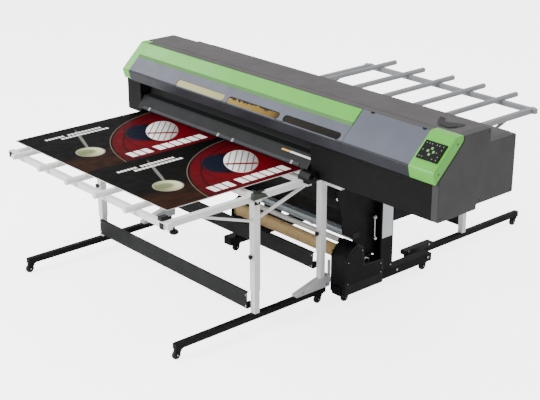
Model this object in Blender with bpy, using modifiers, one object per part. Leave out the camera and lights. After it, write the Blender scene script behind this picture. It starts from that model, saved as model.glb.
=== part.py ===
"""Wide flatbed UV printer with a front and a rear roll-up table.

The origin is on the floor under the middle of the whole object. +X runs to the right along
the printer, +Y is the direction in which a board is fed, and +Z is up. Lengths are metres.
"""

import math

import bmesh
import bpy
from mathutils import Matrix, Vector

# Clearances and sheet thicknesses
FIT = 0.0003
PANEL_GAP = 0.001
SHEET = 0.004
THIN_SHEET = 0.003

# The printer's body, seen from its right end: outline points as (Y, Z)
HALF_WIDTH = 1.525
NOSE = (-0.652, 1.223)
TOP_FRONT = (-0.467, 1.400)
UNDER_NOSE = (-0.630, 1.151)
TOP_Z = 1.400
STEP_Y, STEP_Z = -0.165, 1.313
REAR_Y, REAR_BOTTOM_Z = 0.076, 0.942
NOTCH_Y, FRONT_BOTTOM_Z = -0.263, 0.911
LOWER_FRONT_Y = -0.609
END_BAND = [(-0.4085, 1.400), (-0.4085, 1.3735), (-0.4395, 1.3380), (-0.6115, 1.1720)]
SIDE_FRONT = [(-0.609, 1.1695), (-0.437, 1.3350), (-0.405, 1.3720), (-0.405, 1.400)]

# Where the panels part along X
END_BAND_RIGHT = -1.445
LEFT_COVER_DEPTH, RIGHT_COVER_DEPTH = 0.160, 0.050
COVER_RIGHT, PANEL_RIGHT = 0.770, 1.323
SLOT_LEFT, SLOT_RIGHT = -1.362, 0.460
WINDOW_STARTS, WINDOW_LENGTH = (-0.895, -0.338, 0.220), 0.518
WINDOW_LOW, WINDOW_HIGH = 0.012, 0.062
HOUSING_LIFT = 0.008

# Media path: the height of the platen and the rods, and the board on them
PATH_Z = 0.9385
BOARD_X, BOARD_Y, BOARD_THICK = (-1.314, 0.390), (-1.691, -0.150), 0.006
ROLLER_Y, ROLLER_RADIUS = -0.330, 0.018

# Stand of the printer
LEG_X, LEG_BASE_Y, LEG_BASE_HALF, LEG_TOP = 0.562, (-0.460, 0.440), 0.040, 0.128
POST_Y, POST_HALF = (-0.080, 0.040), 0.036
BEAM_Y, BEAM_BOTTOM, BEAM_TOP, BEAM_HALF_LENGTH = (-0.360, 0.000), 0.800, 0.9155, 1.000

# Take-up unit
CORE_Y, CORE_Z, CORE_RADIUS, CORE_HALF = -0.400, 0.350, 0.043, 0.485
TUBE_Y, TUBE_Z, TUBE_RADIUS = -0.352, 0.407, 0.013

# Tables: both stand frames are one design, turned round about this Y. The rear one has no posts
# next to the printer: its deck hangs on the machine there
TABLE_X = (-1.224, 0.464)
MIRROR_Y = -0.0765
TABLE_BEAM_Y, TABLE_BEAM_HALF, TABLE_BEAM_TOP = (-1.722, -0.475), 0.020, 0.108
POST_YS, SLEEVE_HALF, SLEEVE_WALL, INNER_POST_HALF = (-1.078, -0.508), 0.024, 0.002, 0.0215
SLEEVE_TOP, INNER_POST_TOP, TUBE_WALL = 0.875, 0.700, 0.004
LIFT_TRAVEL = 0.060
SLEEVE_BOTTOMS, PANEL_BOTTOMS, PANEL_HEIGHT = (0.262, 0.362), (0.135, 0.243), 0.115
FOOT_Y, FOOT_TOP, REAR_FOOT_TOP = (-0.742, -0.445), 0.190, 0.140
RAIL_Z, RAIL_HALF = (0.871, 0.911), 0.020
ROD_XS = [-1.100 + 0.319 * i for i in range(5)]
ROD_RADIUS, ROD_SIDES = 0.0205, 14
DOCK_BAR_X = (-1.410, 0.650)

# Casters: one design, on the legs and on the tables
WHEEL_RADIUS, WHEEL_WIDTH, TRAIL = 0.030, 0.022, 0.020
CASTER_TOP = 0.068
CASTER_PLACES = {
    "front_table": [(x, y) for x in TABLE_X for y in (-1.690, -0.515)],
    "rear_table": [(x, y) for x in TABLE_X for y in (0.370, 1.545)],
    "printer": [(x, y) for x in (-LEG_X, LEG_X) for y in (-0.360, 0.410)],
}

BLACK = (0.012, 0.012, 0.013)
CHARCOAL = (0.070, 0.068, 0.072)
GREY = (0.200, 0.215, 0.250)
GREEN = (0.230, 0.560, 0.160)
ALUMINIUM = (0.780, 0.790, 0.800)
WHITE = (0.800, 0.800, 0.800)

SLANT_LENGTH = math.dist(NOSE, TOP_FRONT)
SLANT = Vector((0.0, TOP_FRONT[0] - NOSE[0], TOP_FRONT[1] - NOSE[1])) / SLANT_LENGTH
NORMAL = Vector((1.0, 0.0, 0.0)).cross(SLANT)


# ---------------------------------------------------------------- building blocks

def clear_scene():
    for obj in list(bpy.data.objects):
        bpy.data.objects.remove(obj)


def new_collection(name, hidden=False):
    collection = bpy.data.collections.new(name)
    collection.hide_render = hidden
    bpy.context.scene.collection.children.link(collection)
    return collection


def add_object(name, data, collection):
    obj = bpy.data.objects.new(name, data)
    collection.objects.link(obj)
    return obj


def material(name, colour, roughness, metallic):
    finish = bpy.data.materials.new(name)
    finish.use_nodes = True
    shader = finish.node_tree.nodes["Principled BSDF"]
    shader.inputs["Base Color"].default_value = (*colour, 1.0)
    shader.inputs["Roughness"].default_value = roughness
    shader.inputs["Metallic"].default_value = metallic
    return finish


def from_bmesh(bm, name="block"):
    mesh = bpy.data.meshes.new(name)
    bm.to_mesh(mesh)
    bm.free()
    return add_object(name, mesh, WORKSHOP)


def box(x, y, z):
    """A block between two limits on each axis."""
    bm = bmesh.new()
    bmesh.ops.create_cube(bm, size=1.0)
    size = Vector((x[1] - x[0], y[1] - y[0], z[1] - z[0]))
    centre = Vector((x[0] + x[1], y[0] + y[1], z[0] + z[1])) / 2
    bmesh.ops.transform(bm, matrix=Matrix.Translation(centre) @ Matrix.Diagonal((*size, 1.0)), verts=bm.verts)
    return from_bmesh(bm)


def rod(start, end, radius, sides=16):
    """A round bar between two points."""
    start, end = Vector(start), Vector(end)
    bm = bmesh.new()
    bmesh.ops.create_cone(bm, cap_ends=True, segments=sides, radius1=radius, radius2=radius,
                          depth=(end - start).length)
    turn = (end - start).to_track_quat("Z", "Y").to_matrix().to_4x4()
    bmesh.ops.transform(bm, matrix=Matrix.Translation((start + end) / 2) @ turn, verts=bm.verts)
    return from_bmesh(bm)


def bar(start, end, width, height):
    """A flat bar between two points in a plane of constant X, width along X."""
    start, end = Vector(start), Vector(end)
    along = (end - start).normalized()
    side = Vector((1.0, 0.0, 0.0))
    turn = Matrix((side, along, side.cross(along))).transposed().to_4x4()
    bm = bmesh.new()
    bmesh.ops.create_cube(bm, size=1.0)
    scale = Matrix.Diagonal((width, (end - start).length, height, 1.0))
    bmesh.ops.transform(bm, matrix=Matrix.Translation((start + end) / 2) @ turn @ scale, verts=bm.verts)
    return from_bmesh(bm)


def outline_solid(points, matrix, thickness):
    """A flat outline filled and given a thickness, centred on the plane that the matrix places."""
    curve = bpy.data.curves.new("outline", "CURVE")
    curve.dimensions = "2D"
    curve.fill_mode = "BOTH"
    curve.extrude = thickness / 2
    spline = curve.splines.new("POLY")
    spline.points.add(len(points) - 1)
    for point, (u, v) in zip(spline.points, points):
        point.co = (u, v, 0.0, 1.0)
    spline.use_cyclic_u = True
    drawn = add_object("outline", curve, WORKSHOP)
    drawn.matrix_world = matrix
    bpy.context.view_layer.update()
    mesh = bpy.data.meshes.new_from_object(drawn.evaluated_get(bpy.context.evaluated_depsgraph_get()))
    bm = bmesh.new()
    bm.from_mesh(mesh)
    bmesh.ops.remove_doubles(bm, verts=bm.verts, dist=1e-6)
    bmesh.ops.transform(bm, matrix=matrix, verts=bm.verts)
    bmesh.ops.recalc_face_normals(bm, faces=bm.faces)
    bpy.data.objects.remove(drawn)
    return from_bmesh(bm)


def prism(outline, x):
    """A (Y, Z) outline carried along X between two limits."""
    place = Matrix(((0, 0, 1, (x[0] + x[1]) / 2), (1, 0, 0, 0), (0, 1, 0, 0), (0, 0, 0, 1)))
    return outline_solid(outline, place, x[1] - x[0])


def sheet(profile, x, thickness, side=-1.0):
    """A bent sheet: an open (Y, Z) profile carried along X and given its thickness by Solidify."""
    bm = bmesh.new()
    verts = [bm.verts.new((x[0], y, z)) for y, z in profile]
    edges = [bm.edges.new(pair) for pair in zip(verts, verts[1:])]
    made = bmesh.ops.extrude_edge_only(bm, edges=edges)["geom"]
    moved = [item for item in made if isinstance(item, bmesh.types.BMVert)]
    bmesh.ops.translate(bm, verts=moved, vec=(x[1] - x[0], 0.0, 0.0))
    obj = from_bmesh(bm)
    solidify = obj.modifiers.new("thickness", "SOLIDIFY")
    solidify.thickness = thickness
    solidify.offset = side
    solidify.use_even_offset = True
    return bake(obj)


def bake(obj):
    """The object with its modifiers made part of its mesh, facing outwards."""
    bpy.context.view_layer.update()
    mesh = bpy.data.meshes.new_from_object(obj.evaluated_get(bpy.context.evaluated_depsgraph_get()))
    obj.modifiers.clear()
    obj.data = mesh
    bm = bmesh.new()
    bm.from_mesh(mesh)
    bmesh.ops.recalc_face_normals(bm, faces=bm.faces)
    bm.to_mesh(mesh)
    bm.free()
    return obj


def boolean(base, others, operation):
    for other in others:
        change = base.modifiers.new(operation, "BOOLEAN")
        change.operation = operation
        change.object = other
        change.solver = "EXACT"
    bake(base)
    for other in others:
        bpy.data.objects.remove(other)
    return base


def unite(first, *others):
    return boolean(first, others, "UNION")


def cut(first, *others):
    return boolean(first, others, "DIFFERENCE")


def finish(name, obj, paint, joint_at=None):
    """Names a finished piece, paints it, and puts its origin on its joint's axis."""
    obj.name = name
    obj.data.name = name
    obj.data.materials.clear()
    obj.data.materials.append(paint)
    if joint_at is not None:
        obj.data.transform(Matrix.Translation(-Vector(joint_at)))
        obj.location = joint_at
    WORKSHOP.objects.unlink(obj)
    PRINTER.objects.link(obj)
    return obj


def arc(centre, radius, start, end, steps):
    """Points of an arc in degrees, both ends included."""
    angles = [math.radians(start + (end - start) * i / steps) for i in range(steps + 1)]
    return [(centre[0] + radius * math.cos(a), centre[1] + radius * math.sin(a)) for a in angles]


def on_slant(x, along, out):
    """A point over the slanted front: its X, its distance up from the nose and its height off it."""
    return Vector((x, NOSE[0], NOSE[1])) + SLANT * along + NORMAL * out


def slant_yz(along, out):
    point = on_slant(0.0, along, out)
    return (point.y, point.z)


def slant_block(x, along, out):
    """A block lying on the slanted front."""
    bm = bmesh.new()
    bmesh.ops.create_cube(bm, size=1.0)
    turn = Matrix((Vector((1.0, 0.0, 0.0)), SLANT, NORMAL)).transposed().to_4x4()
    centre = on_slant((x[0] + x[1]) / 2, (along[0] + along[1]) / 2, (out[0] + out[1]) / 2)
    scale = Matrix.Diagonal((x[1] - x[0], along[1] - along[0], out[1] - out[0], 1.0))
    bmesh.ops.transform(bm, matrix=Matrix.Translation(centre) @ turn @ scale, verts=bm.verts)
    return from_bmesh(bm)


def mirrored(ys):
    """Y limits turned round to the rear table."""
    return (2 * MIRROR_Y - ys[1], 2 * MIRROR_Y - ys[0])


# ---------------------------------------------------------------- printer body

def make_chassis():
    """A U-shaped main beam with the trays that carry both ends of the body."""
    beam = sheet([(BEAM_Y[0], BEAM_TOP), (BEAM_Y[0], BEAM_BOTTOM), (BEAM_Y[1], BEAM_BOTTOM),
                  (BEAM_Y[1], BEAM_TOP)], (-BEAM_HALF_LENGTH, BEAM_HALF_LENGTH), SHEET, 1.0)
    tray = (BEAM_TOP - SHEET, BEAM_TOP)
    right_end = (0.500, HALF_WIDTH - RIGHT_COVER_DEPTH - PANEL_GAP)
    right = box(right_end, (-0.603, NOTCH_Y), tray)
    rear = box(right_end, (NOTCH_Y - SHEET, REAR_Y - 0.007), (REAR_BOTTOM_Z, REAR_BOTTOM_Z + SHEET))
    riser = box(right_end, (NOTCH_Y - SHEET, NOTCH_Y), (BEAM_TOP - SHEET, REAR_BOTTOM_Z + SHEET))
    left = box((-HALF_WIDTH + LEFT_COVER_DEPTH + PANEL_GAP, -0.900), (-0.603, -0.350), tray)
    return finish("chassis", unite(beam, right, riser, rear, left), PAINTS["black_steel"])


def make_platen():
    """The flat bed under the print line, with a slot for the feed roller."""
    bed = sheet([(-0.575, BEAM_TOP + FIT), (-0.575, PATH_Z), (0.060, PATH_Z), (0.060, BEAM_TOP + FIT)],
                (SLOT_LEFT + FIT, SLOT_RIGHT - FIT), SHEET, -1.0)
    slot = box((-1.340, 0.440), (ROLLER_Y - 0.022, ROLLER_Y + 0.022), (PATH_Z - 0.01, PATH_Z + 0.01))
    return finish("platen", cut(bed, slot), PAINTS["aluminium"])


def side_outline():
    return SIDE_FRONT + [(STEP_Y, TOP_Z), (STEP_Y, STEP_Z), (REAR_Y, STEP_Z), (REAR_Y, REAR_BOTTOM_Z),
                         (NOTCH_Y, REAR_BOTTOM_Z), (NOTCH_Y, FRONT_BOTTOM_Z),
                         (LOWER_FRONT_Y, FRONT_BOTTOM_Z)]


def side_hollow():
    """The side outline drawn in by one sheet thickness."""
    t = SHEET
    return [(LOWER_FRONT_Y + t, 1.1678), (-0.4345, 1.3310), (-0.401, 1.3692), (-0.401, TOP_Z - t),
            (STEP_Y - t, TOP_Z - t), (STEP_Y - t, STEP_Z - t), (REAR_Y - t, STEP_Z - t),
            (REAR_Y - t, REAR_BOTTOM_Z + t), (NOTCH_Y - t, REAR_BOTTOM_Z + t),
            (NOTCH_Y - t, BEAM_TOP + FIT), (LOWER_FRONT_Y + t, BEAM_TOP + FIT)]


def make_side_cover(name, side, depth):
    """An end cap: a flat end plate with a rim as deep as the cap."""
    outer = sorted((side * HALF_WIDTH, side * (HALF_WIDTH - depth)))
    inner = sorted((side * (HALF_WIDTH - SHEET), side * (HALF_WIDTH - depth - 0.05)))
    cap = cut(prism(side_outline(), outer), prism(side_hollow(), inner))
    return finish(name, cap, PAINTS["charcoal"])


def make_top_cover():
    left, right = -HALF_WIDTH + LEFT_COVER_DEPTH + PANEL_GAP, HALF_WIDTH - RIGHT_COVER_DEPTH - PANEL_GAP
    roof = sheet([(-0.404, TOP_Z), (STEP_Y, TOP_Z), (STEP_Y, STEP_Z), (REAR_Y - FIT, STEP_Z)],
                 (left, right), THIN_SHEET, -1.0)
    z = (TOP_Z - THIN_SHEET, TOP_Z)
    brow = box((END_BAND_RIGHT + PANEL_GAP, PANEL_RIGHT - PANEL_GAP), (TOP_FRONT[0] + 0.004, -0.406), z)
    bridge = box((left, PANEL_RIGHT - PANEL_GAP), (-0.410, -0.400), z)
    return finish("top_cover", unite(roof, bridge, brow), PAINTS["charcoal"])


def make_rear_cover():
    """The back wall, which stops above the slot where the board leaves."""
    left, right = -HALF_WIDTH + LEFT_COVER_DEPTH + PANEL_GAP, HALF_WIDTH - RIGHT_COVER_DEPTH - PANEL_GAP
    y = (REAR_Y - 2 * THIN_SHEET, REAR_Y - THIN_SHEET)
    wall = box((left, right), y, (0.985, STEP_Z - THIN_SHEET - FIT))
    skirt = box((0.500, right), y, (REAR_BOTTOM_Z + SHEET + FIT, 0.986))
    hem = box((left, right), (REAR_Y - 0.020, REAR_Y - THIN_SHEET), (0.982, 0.985 + THIN_SHEET))
    return finish("rear_cover", unite(wall, hem, skirt), PAINTS["charcoal"])


def band_outline(lift=0.0):
    """The section of the end band, lifted off the slant where a housing stands proud."""
    top, nose = slant_yz(SLANT_LENGTH, lift), slant_yz(-lift / 2, lift)
    under = (UNDER_NOSE[0] - lift, UNDER_NOSE[1] - lift / 2)
    return [top, nose, under] + END_BAND[:0:-1] + [(END_BAND[0][0], top[1])]


def make_front_cover():
    """The long hinged cover: a bent panel with three windows and a closed left end."""
    hinge = (0.0, TOP_FRONT[0], TOP_FRONT[1])
    panel = sheet([TOP_FRONT, NOSE, UNDER_NOSE], (END_BAND_RIGHT - 0.020, COVER_RIGHT), SHEET, 1.0)
    band = prism(band_outline(), (-HALF_WIDTH + FIT, END_BAND_RIGHT))
    hollow = [(-0.4680, 1.3935), (-0.6470, 1.2222), (-0.6262, 1.1585), (-0.6140, 1.1762),
              (-0.4435, 1.3400), (-0.4125, 1.3745), (-0.4125, 1.3935)]
    scoop = prism(hollow, (-HALF_WIDTH + SHEET, END_BAND_RIGHT + 0.030))
    cover = cut(unite(panel, band), scoop)
    radius = (WINDOW_HIGH - WINDOW_LOW) / 2
    for start in WINDOW_STARTS:
        end = start + WINDOW_LENGTH
        ring = (arc((end - radius, radius + WINDOW_LOW), radius, -90, 90, 6)
                + arc((start + radius, radius + WINDOW_LOW), radius, 90, 270, 6))
        origin = Vector((0.0, NOSE[0], NOSE[1]))
        place = Matrix.Translation(origin) @ Matrix((Vector((1, 0, 0)), SLANT, NORMAL)).transposed().to_4x4()
        cut(cover, outline_solid(ring, place, 0.030))
    return finish("front_cover", cover, PAINTS["green"], hinge)


def make_cover_window(cover):
    """One amber sheet behind the three openings, riding on the cover."""
    window = slant_block((WINDOW_STARTS[0] - 0.02, WINDOW_STARTS[-1] + WINDOW_LENGTH + 0.02),
                         (0.006, WINDOW_HIGH + 0.012), (-SHEET - FIT - 0.002, -SHEET - FIT))
    made = finish("cover_window", window, PAINTS["amber"], tuple(cover.location))
    made.parent = cover
    made.location = (0.0, 0.0, 0.0)
    return made


def make_front_guard():
    """The sloped plate over the board where it goes in."""
    guard = sheet([(-0.640, 0.9605), (-0.575, 1.045), (-0.520, 1.052)], (SLOT_LEFT, SLOT_RIGHT - FIT),
                  THIN_SHEET, 1.0)
    return finish("front_guard", guard, PAINTS["black_steel"])


def make_lower_front_panel():
    """The black lower front to the right of the slot, with its return along the slot."""
    low, high = BEAM_TOP + FIT, 1.149
    front = box((SLOT_RIGHT, HALF_WIDTH - RIGHT_COVER_DEPTH - PANEL_GAP),
                (LOWER_FRONT_Y, LOWER_FRONT_Y + SHEET), (low, high))
    start, top = LOWER_FRONT_Y + SHEET / 2, high - 0.001
    inner = prism([(start, 0.9475), (-0.510, 0.9475), (-0.510, top), (start, top)],
                  (SLOT_RIGHT + 0.0005, SLOT_RIGHT + SHEET))
    return finish("lower_front_panel", unite(front, inner), PAINTS["black_plastic"])


def make_right_front_panel():
    panel = sheet([(TOP_FRONT[0], TOP_FRONT[1]), NOSE, UNDER_NOSE],
                  (COVER_RIGHT + 0.002, PANEL_RIGHT - PANEL_GAP), SHEET, 1.0)
    return finish("right_front_panel", panel, PAINTS["grey"])


def make_control_housing():
    """The housing of the controls, a little proud of the slanted front and open behind."""
    outer = prism(band_outline(HOUSING_LIFT), (PANEL_RIGHT, HALF_WIDTH))
    skin = HOUSING_LIFT - SHEET
    hollow = [slant_yz(SLANT_LENGTH - 0.002, skin), slant_yz(0.002, skin), (-0.632, 1.154),
              (-0.590, 1.165), (-0.400, 1.345), (-0.400, 1.4000)]
    inner = prism(hollow, (PANEL_RIGHT + SHEET, HALF_WIDTH - SHEET))
    return finish("control_housing", cut(outer, inner), PAINTS["green"])


BEZEL_OUT = HOUSING_LIFT + FIT
KEY_SIZE, KEY_PITCH, KEY_HEIGHT = 0.017, 0.021, 0.006
KEY_CENTRE = (1.420, 0.122)
KEYS = {"key_up": (0, 1), "key_down": (0, -1), "key_left": (-1, 0), "key_right": (1, 0)}


def make_key_bezel():
    bezel = slant_block((1.345, 1.505), (0.062, 0.186), (BEZEL_OUT, BEZEL_OUT + 0.006))
    half = KEY_SIZE / 2 + 0.0005
    holes = []
    for dx, dy in KEYS.values():
        x, along = KEY_CENTRE[0] + dx * KEY_PITCH, KEY_CENTRE[1] + dy * KEY_PITCH
        holes.append(slant_block((x - half, x + half), (along - half, along + half),
                                 (BEZEL_OUT - 0.005, BEZEL_OUT + 0.012)))
    return finish("key_bezel", cut(bezel, *holes), PAINTS["black_plastic"])


def make_keys():
    """Four arrow keys that sink into the bezel along the slant's normal."""
    half = KEY_SIZE / 2
    for name, (dx, dy) in KEYS.items():
        x, along = KEY_CENTRE[0] + dx * KEY_PITCH, KEY_CENTRE[1] + dy * KEY_PITCH
        key = slant_block((x - half, x + half), (along - half, along + half),
                          (BEZEL_OUT + 0.002, BEZEL_OUT + 0.002 + KEY_HEIGHT))
        finish(name, key, PAINTS["key"], tuple(on_slant(x, along, BEZEL_OUT)))


# ---------------------------------------------------------------- inside the body

def make_guide_rail():
    """The steel rail that the carriage runs on, with its feet on the right tray."""
    length = HALF_WIDTH - RIGHT_COVER_DEPTH - 0.005
    left = -HALF_WIDTH + LEFT_COVER_DEPTH + 0.005
    rail = box((left, length), (-0.190, -0.160), (1.140, 1.200))
    web = box((left, length), (-0.163, -0.150), (1.080, 1.240))
    return finish("guide_rail", unite(rail, web), PAINTS["steel"])


CARRIAGE_X = 1.150


def make_carriage():
    """The print carriage, parked over its capping station."""
    x = (CARRIAGE_X - 0.130, CARRIAGE_X + 0.170)
    body = box(x, (-0.500, -0.230), (0.958, 1.100))
    tower = box((x[0] + 0.03, x[1] - 0.03), (-0.420, -0.230), (1.095, 1.210))
    shoe = box((x[0] + 0.02, x[1] - 0.02), (-0.240, -0.1905), (1.125, 1.215))
    roof = box((x[0] + 0.02, x[1] - 0.02), (-0.240, -0.1660), (1.2005, 1.2150))
    return finish("carriage", unite(body, tower, shoe, roof), PAINTS["black_plastic"],
                  (CARRIAGE_X, -0.175, 1.170))


def make_uv_lamp(carriage):
    x = (CARRIAGE_X - 0.130 - FIT - 0.090, CARRIAGE_X - 0.130 - FIT)
    lamp = unite(box(x, (-0.480, -0.280), (0.962, 1.080)),
                 box((x[0] + 0.015, x[1] - 0.015), (-0.450, -0.310), (1.075, 1.110)))
    made = finish("uv_lamp", lamp, PAINTS["aluminium"], tuple(carriage.location))
    made.parent = carriage
    made.location = (0.0, 0.0, 0.0)


def make_capping_station():
    tray = box((CARRIAGE_X - 0.120, CARRIAGE_X + 0.160), (-0.480, -0.270), (BEAM_TOP + FIT, 0.950))
    recess = box((CARRIAGE_X - 0.100, CARRIAGE_X + 0.140), (-0.460, -0.290), (0.930, 0.960))
    return finish("capping_station", cut(tray, recess), PAINTS["black_plastic"])


def make_feed_roller():
    centre = (0.0, ROLLER_Y, PATH_Z - FIT - ROLLER_RADIUS)
    roller = rod((-1.335, centre[1], centre[2]), (0.435, centre[1], centre[2]), ROLLER_RADIUS, 18)
    return finish("feed_roller", roller, PAINTS["steel"], centre)


# ---------------------------------------------------------------- stand and take-up

GUSSETS = {-1: [(-0.075, 0.370), (-0.380, 0.470), (-0.400, 0.600)],
           1: [(-0.075, 0.2545), (-0.240, 0.2635), (-0.240, 0.470), (-0.300, 0.560), (-0.400, 0.640)]}


def make_leg(name, side):
    """A T-shaped leg: a base beam, a post and a gusset plate; the left one carries the core's arm."""
    x = side * LEG_X
    base = box((x - LEG_BASE_HALF, x + LEG_BASE_HALF), LEG_BASE_Y, (CASTER_TOP, LEG_TOP))
    post = box((x - POST_HALF, x + POST_HALF), POST_Y, (LEG_TOP - 0.002, BEAM_BOTTOM - FIT))
    inner = sorted((x - side * 0.033, x - side * 0.020))
    gusset = prism(GUSSETS[side] + [(-0.450, 0.790), (-0.075, 0.790)], inner)
    pieces = [post, gusset]
    if side < 0:
        arm = prism([(-0.075, 0.125), (-0.075, 0.240), (-0.360, 0.440), (-0.430, 0.400), (-0.440, 0.300),
                     (-0.400, 0.125)], inner)
        boss = rod((x + 0.025, CORE_Y, CORE_Z), (-CORE_HALF - 0.011, CORE_Y, CORE_Z), 0.030)
        pieces += [arm, boss]
    wall, half, post_half = TUBE_WALL, LEG_BASE_HALF - TUBE_WALL, POST_HALF - TUBE_WALL
    base_bore = box((x - half, x + half), (LEG_BASE_Y[0] - 0.01, LEG_BASE_Y[1] + 0.01),
                    (CASTER_TOP + wall, LEG_TOP - wall))
    post_bore = box((x - post_half, x + post_half), (POST_Y[0] + wall, POST_Y[1] - wall),
                    (LEG_TOP + wall, BEAM_BOTTOM + 0.01))
    return finish(name, cut(unite(base, *pieces), base_bore, post_bore), PAINTS["black_steel"])


def make_cross_bar():
    bar_half = LEG_X - 0.033 - FIT
    body = box((-bar_half, bar_half), (-0.300, -0.232), (0.412, 0.456))
    groove = box((-bar_half - 0.01, bar_half + 0.01), (-0.305, -0.292), (0.426, 0.434))
    return finish("cross_bar", cut(body, groove), PAINTS["aluminium"])


def make_takeup_drive():
    """The motor housing that sits astride the right leg's base."""
    shape = prism([(-0.452, 0.0785), (-0.452, 0.335), (-0.402, 0.398), (-0.345, 0.432), (-0.285, 0.395),
                   (-0.268, 0.262), (-0.095, 0.252), (-0.095, 0.0785)], (0.500, 0.640))
    saddle = box((LEG_X - LEG_BASE_HALF - FIT, LEG_X + LEG_BASE_HALF + FIT), (-0.470, -0.080),
                 (0.060, LEG_TOP + FIT))
    return finish("takeup_drive", cut(shape, saddle), PAINTS["black_plastic"])


def make_takeup_core():
    """The cardboard core on its two flanges."""
    core = rod((-CORE_HALF, CORE_Y, CORE_Z), (CORE_HALF, CORE_Y, CORE_Z), CORE_RADIUS, 20)
    flanges = [rod((side * (CORE_HALF - 0.002), CORE_Y, CORE_Z), (side * (CORE_HALF + 0.010), CORE_Y, CORE_Z),
                   CORE_RADIUS + 0.006, 20) for side in (-1, 1)]
    return finish("takeup_core", unite(core, *flanges), PAINTS["cardboard"], (0.0, CORE_Y, CORE_Z))


def make_tension_tube():
    tube = rod((-LEG_X + 0.034, TUBE_Y, TUBE_Z), (0.4995, TUBE_Y, TUBE_Z), TUBE_RADIUS, 14)
    return finish("tension_tube", tube, PAINTS["aluminium"], (0.0, TUBE_Y, TUBE_Z))


def make_lower_apron():
    """The curved guide below the platen's front edge, where roll media runs down."""
    curve = arc((-0.190, 0.820), 0.262, 170, 232, 8)
    profile = [(-0.455, 0.905)] + curve + [(-0.290, 0.480)]
    reach = LEG_X - 0.033 - 0.004
    apron = sheet(profile, (-reach, reach), THIN_SHEET, 1.0)
    return finish("lower_apron", apron, PAINTS["black_steel"])


def make_electronics_box():
    """The box behind the legs, open on top under the body."""
    outer = box((-0.600, 0.600), (POST_Y[1] + FIT, 0.240), (0.475, 0.790))
    inner = box((-0.597, 0.597), (POST_Y[1] + FIT + THIN_SHEET, 0.237), (0.478, 0.800))
    return finish("electronics_box", cut(outer, inner), PAINTS["black_steel"])


LEVER_X, LEVER_Y, LEVER_Z = 0.572, -0.118, 0.385


def make_load_lever():
    """A round lever with a ball on its end, pivoting beside the right post."""
    hub = rod((LEG_X - 0.0196, LEVER_Y, LEVER_Z), (0.585, LEVER_Y, LEVER_Z), 0.012, 12)
    stem = rod((LEVER_X, LEVER_Y, LEVER_Z), (LEVER_X, LEVER_Y - 0.004, 0.535), 0.005, 10)
    ball = rod((LEVER_X, LEVER_Y - 0.004, 0.520), (LEVER_X, LEVER_Y - 0.004, 0.552), 0.013, 12)
    return finish("load_lever", unite(hub, stem, ball), PAINTS["steel"], (LEVER_X, LEVER_Y, LEVER_Z))


# ---------------------------------------------------------------- tables

def make_table_base(name, turn):
    """Two floor beams with their posts, feet and the cross panels between the posts."""
    place = mirrored if turn else (lambda ys: ys)
    face = 1.0 if turn else -1.0
    posts = POST_YS[:1] if turn else POST_YS
    foot_top = REAR_FOOT_TOP if turn else FOOT_TOP
    pieces, bores = [], []
    for x in TABLE_X:
        half, bore = TABLE_BEAM_HALF, TABLE_BEAM_HALF - TUBE_WALL
        pieces.append(box((x - half, x + half), place(TABLE_BEAM_Y), (CASTER_TOP, TABLE_BEAM_TOP)))
        beyond = (TABLE_BEAM_Y[0] - 0.01, TABLE_BEAM_Y[1] + 0.01)
        bores.append(box((x - bore, x + bore), place(beyond),
                         (CASTER_TOP + TUBE_WALL, TABLE_BEAM_TOP - TUBE_WALL)))
        foot = (x - SLEEVE_HALF - 0.001, x + SLEEVE_HALF + 0.001)
        pieces.append(box(foot, place(FOOT_Y), (TABLE_BEAM_TOP - 0.002, foot_top)))
        half, bore = INNER_POST_HALF, INNER_POST_HALF - TUBE_WALL
        for y in posts:
            pieces.append(box((x - half, x + half), place((y - half, y + half)),
                              (TABLE_BEAM_TOP - 0.002, INNER_POST_TOP)))
            bores.append(box((x - bore, x + bore), place((y - bore, y + bore)),
                             (TABLE_BEAM_TOP + TUBE_WALL, INNER_POST_TOP + 0.01)))
    for y, bottom in zip(posts, PANEL_BOTTOMS):
        panel = place((y - 0.047, y - 0.027))
        span = (TABLE_X[0] + SLEEVE_HALF + 0.001, TABLE_X[1] - SLEEVE_HALF - 0.001)
        pieces.append(box(span, panel, (bottom, bottom + PANEL_HEIGHT)))
        for x, inward in zip(TABLE_X, (1.0, -1.0)):
            tab = sorted((x + inward * 0.010, x + inward * 0.044))
            pieces.append(box(tab, place((y - 0.030, y - 0.010)), (bottom + 0.004, bottom + 0.044)))
    return finish(name, cut(unite(*pieces), *bores), PAINTS["black_steel"], (0.0, face * 0.9, 0.0))


def sleeve(x, y, bottom):
    """The outside of a square tube round an inner post, and the bore that goes up it."""
    half, bore = SLEEVE_HALF, SLEEVE_HALF - SLEEVE_WALL
    outer = box((x - half, x + half), (y - half, y + half), (bottom, SLEEVE_TOP))
    inner = box((x - bore, x + bore), (y - bore, y + bore),
                (bottom - 0.01, INNER_POST_TOP + LIFT_TRAVEL + 0.02))
    return outer, inner


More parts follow.
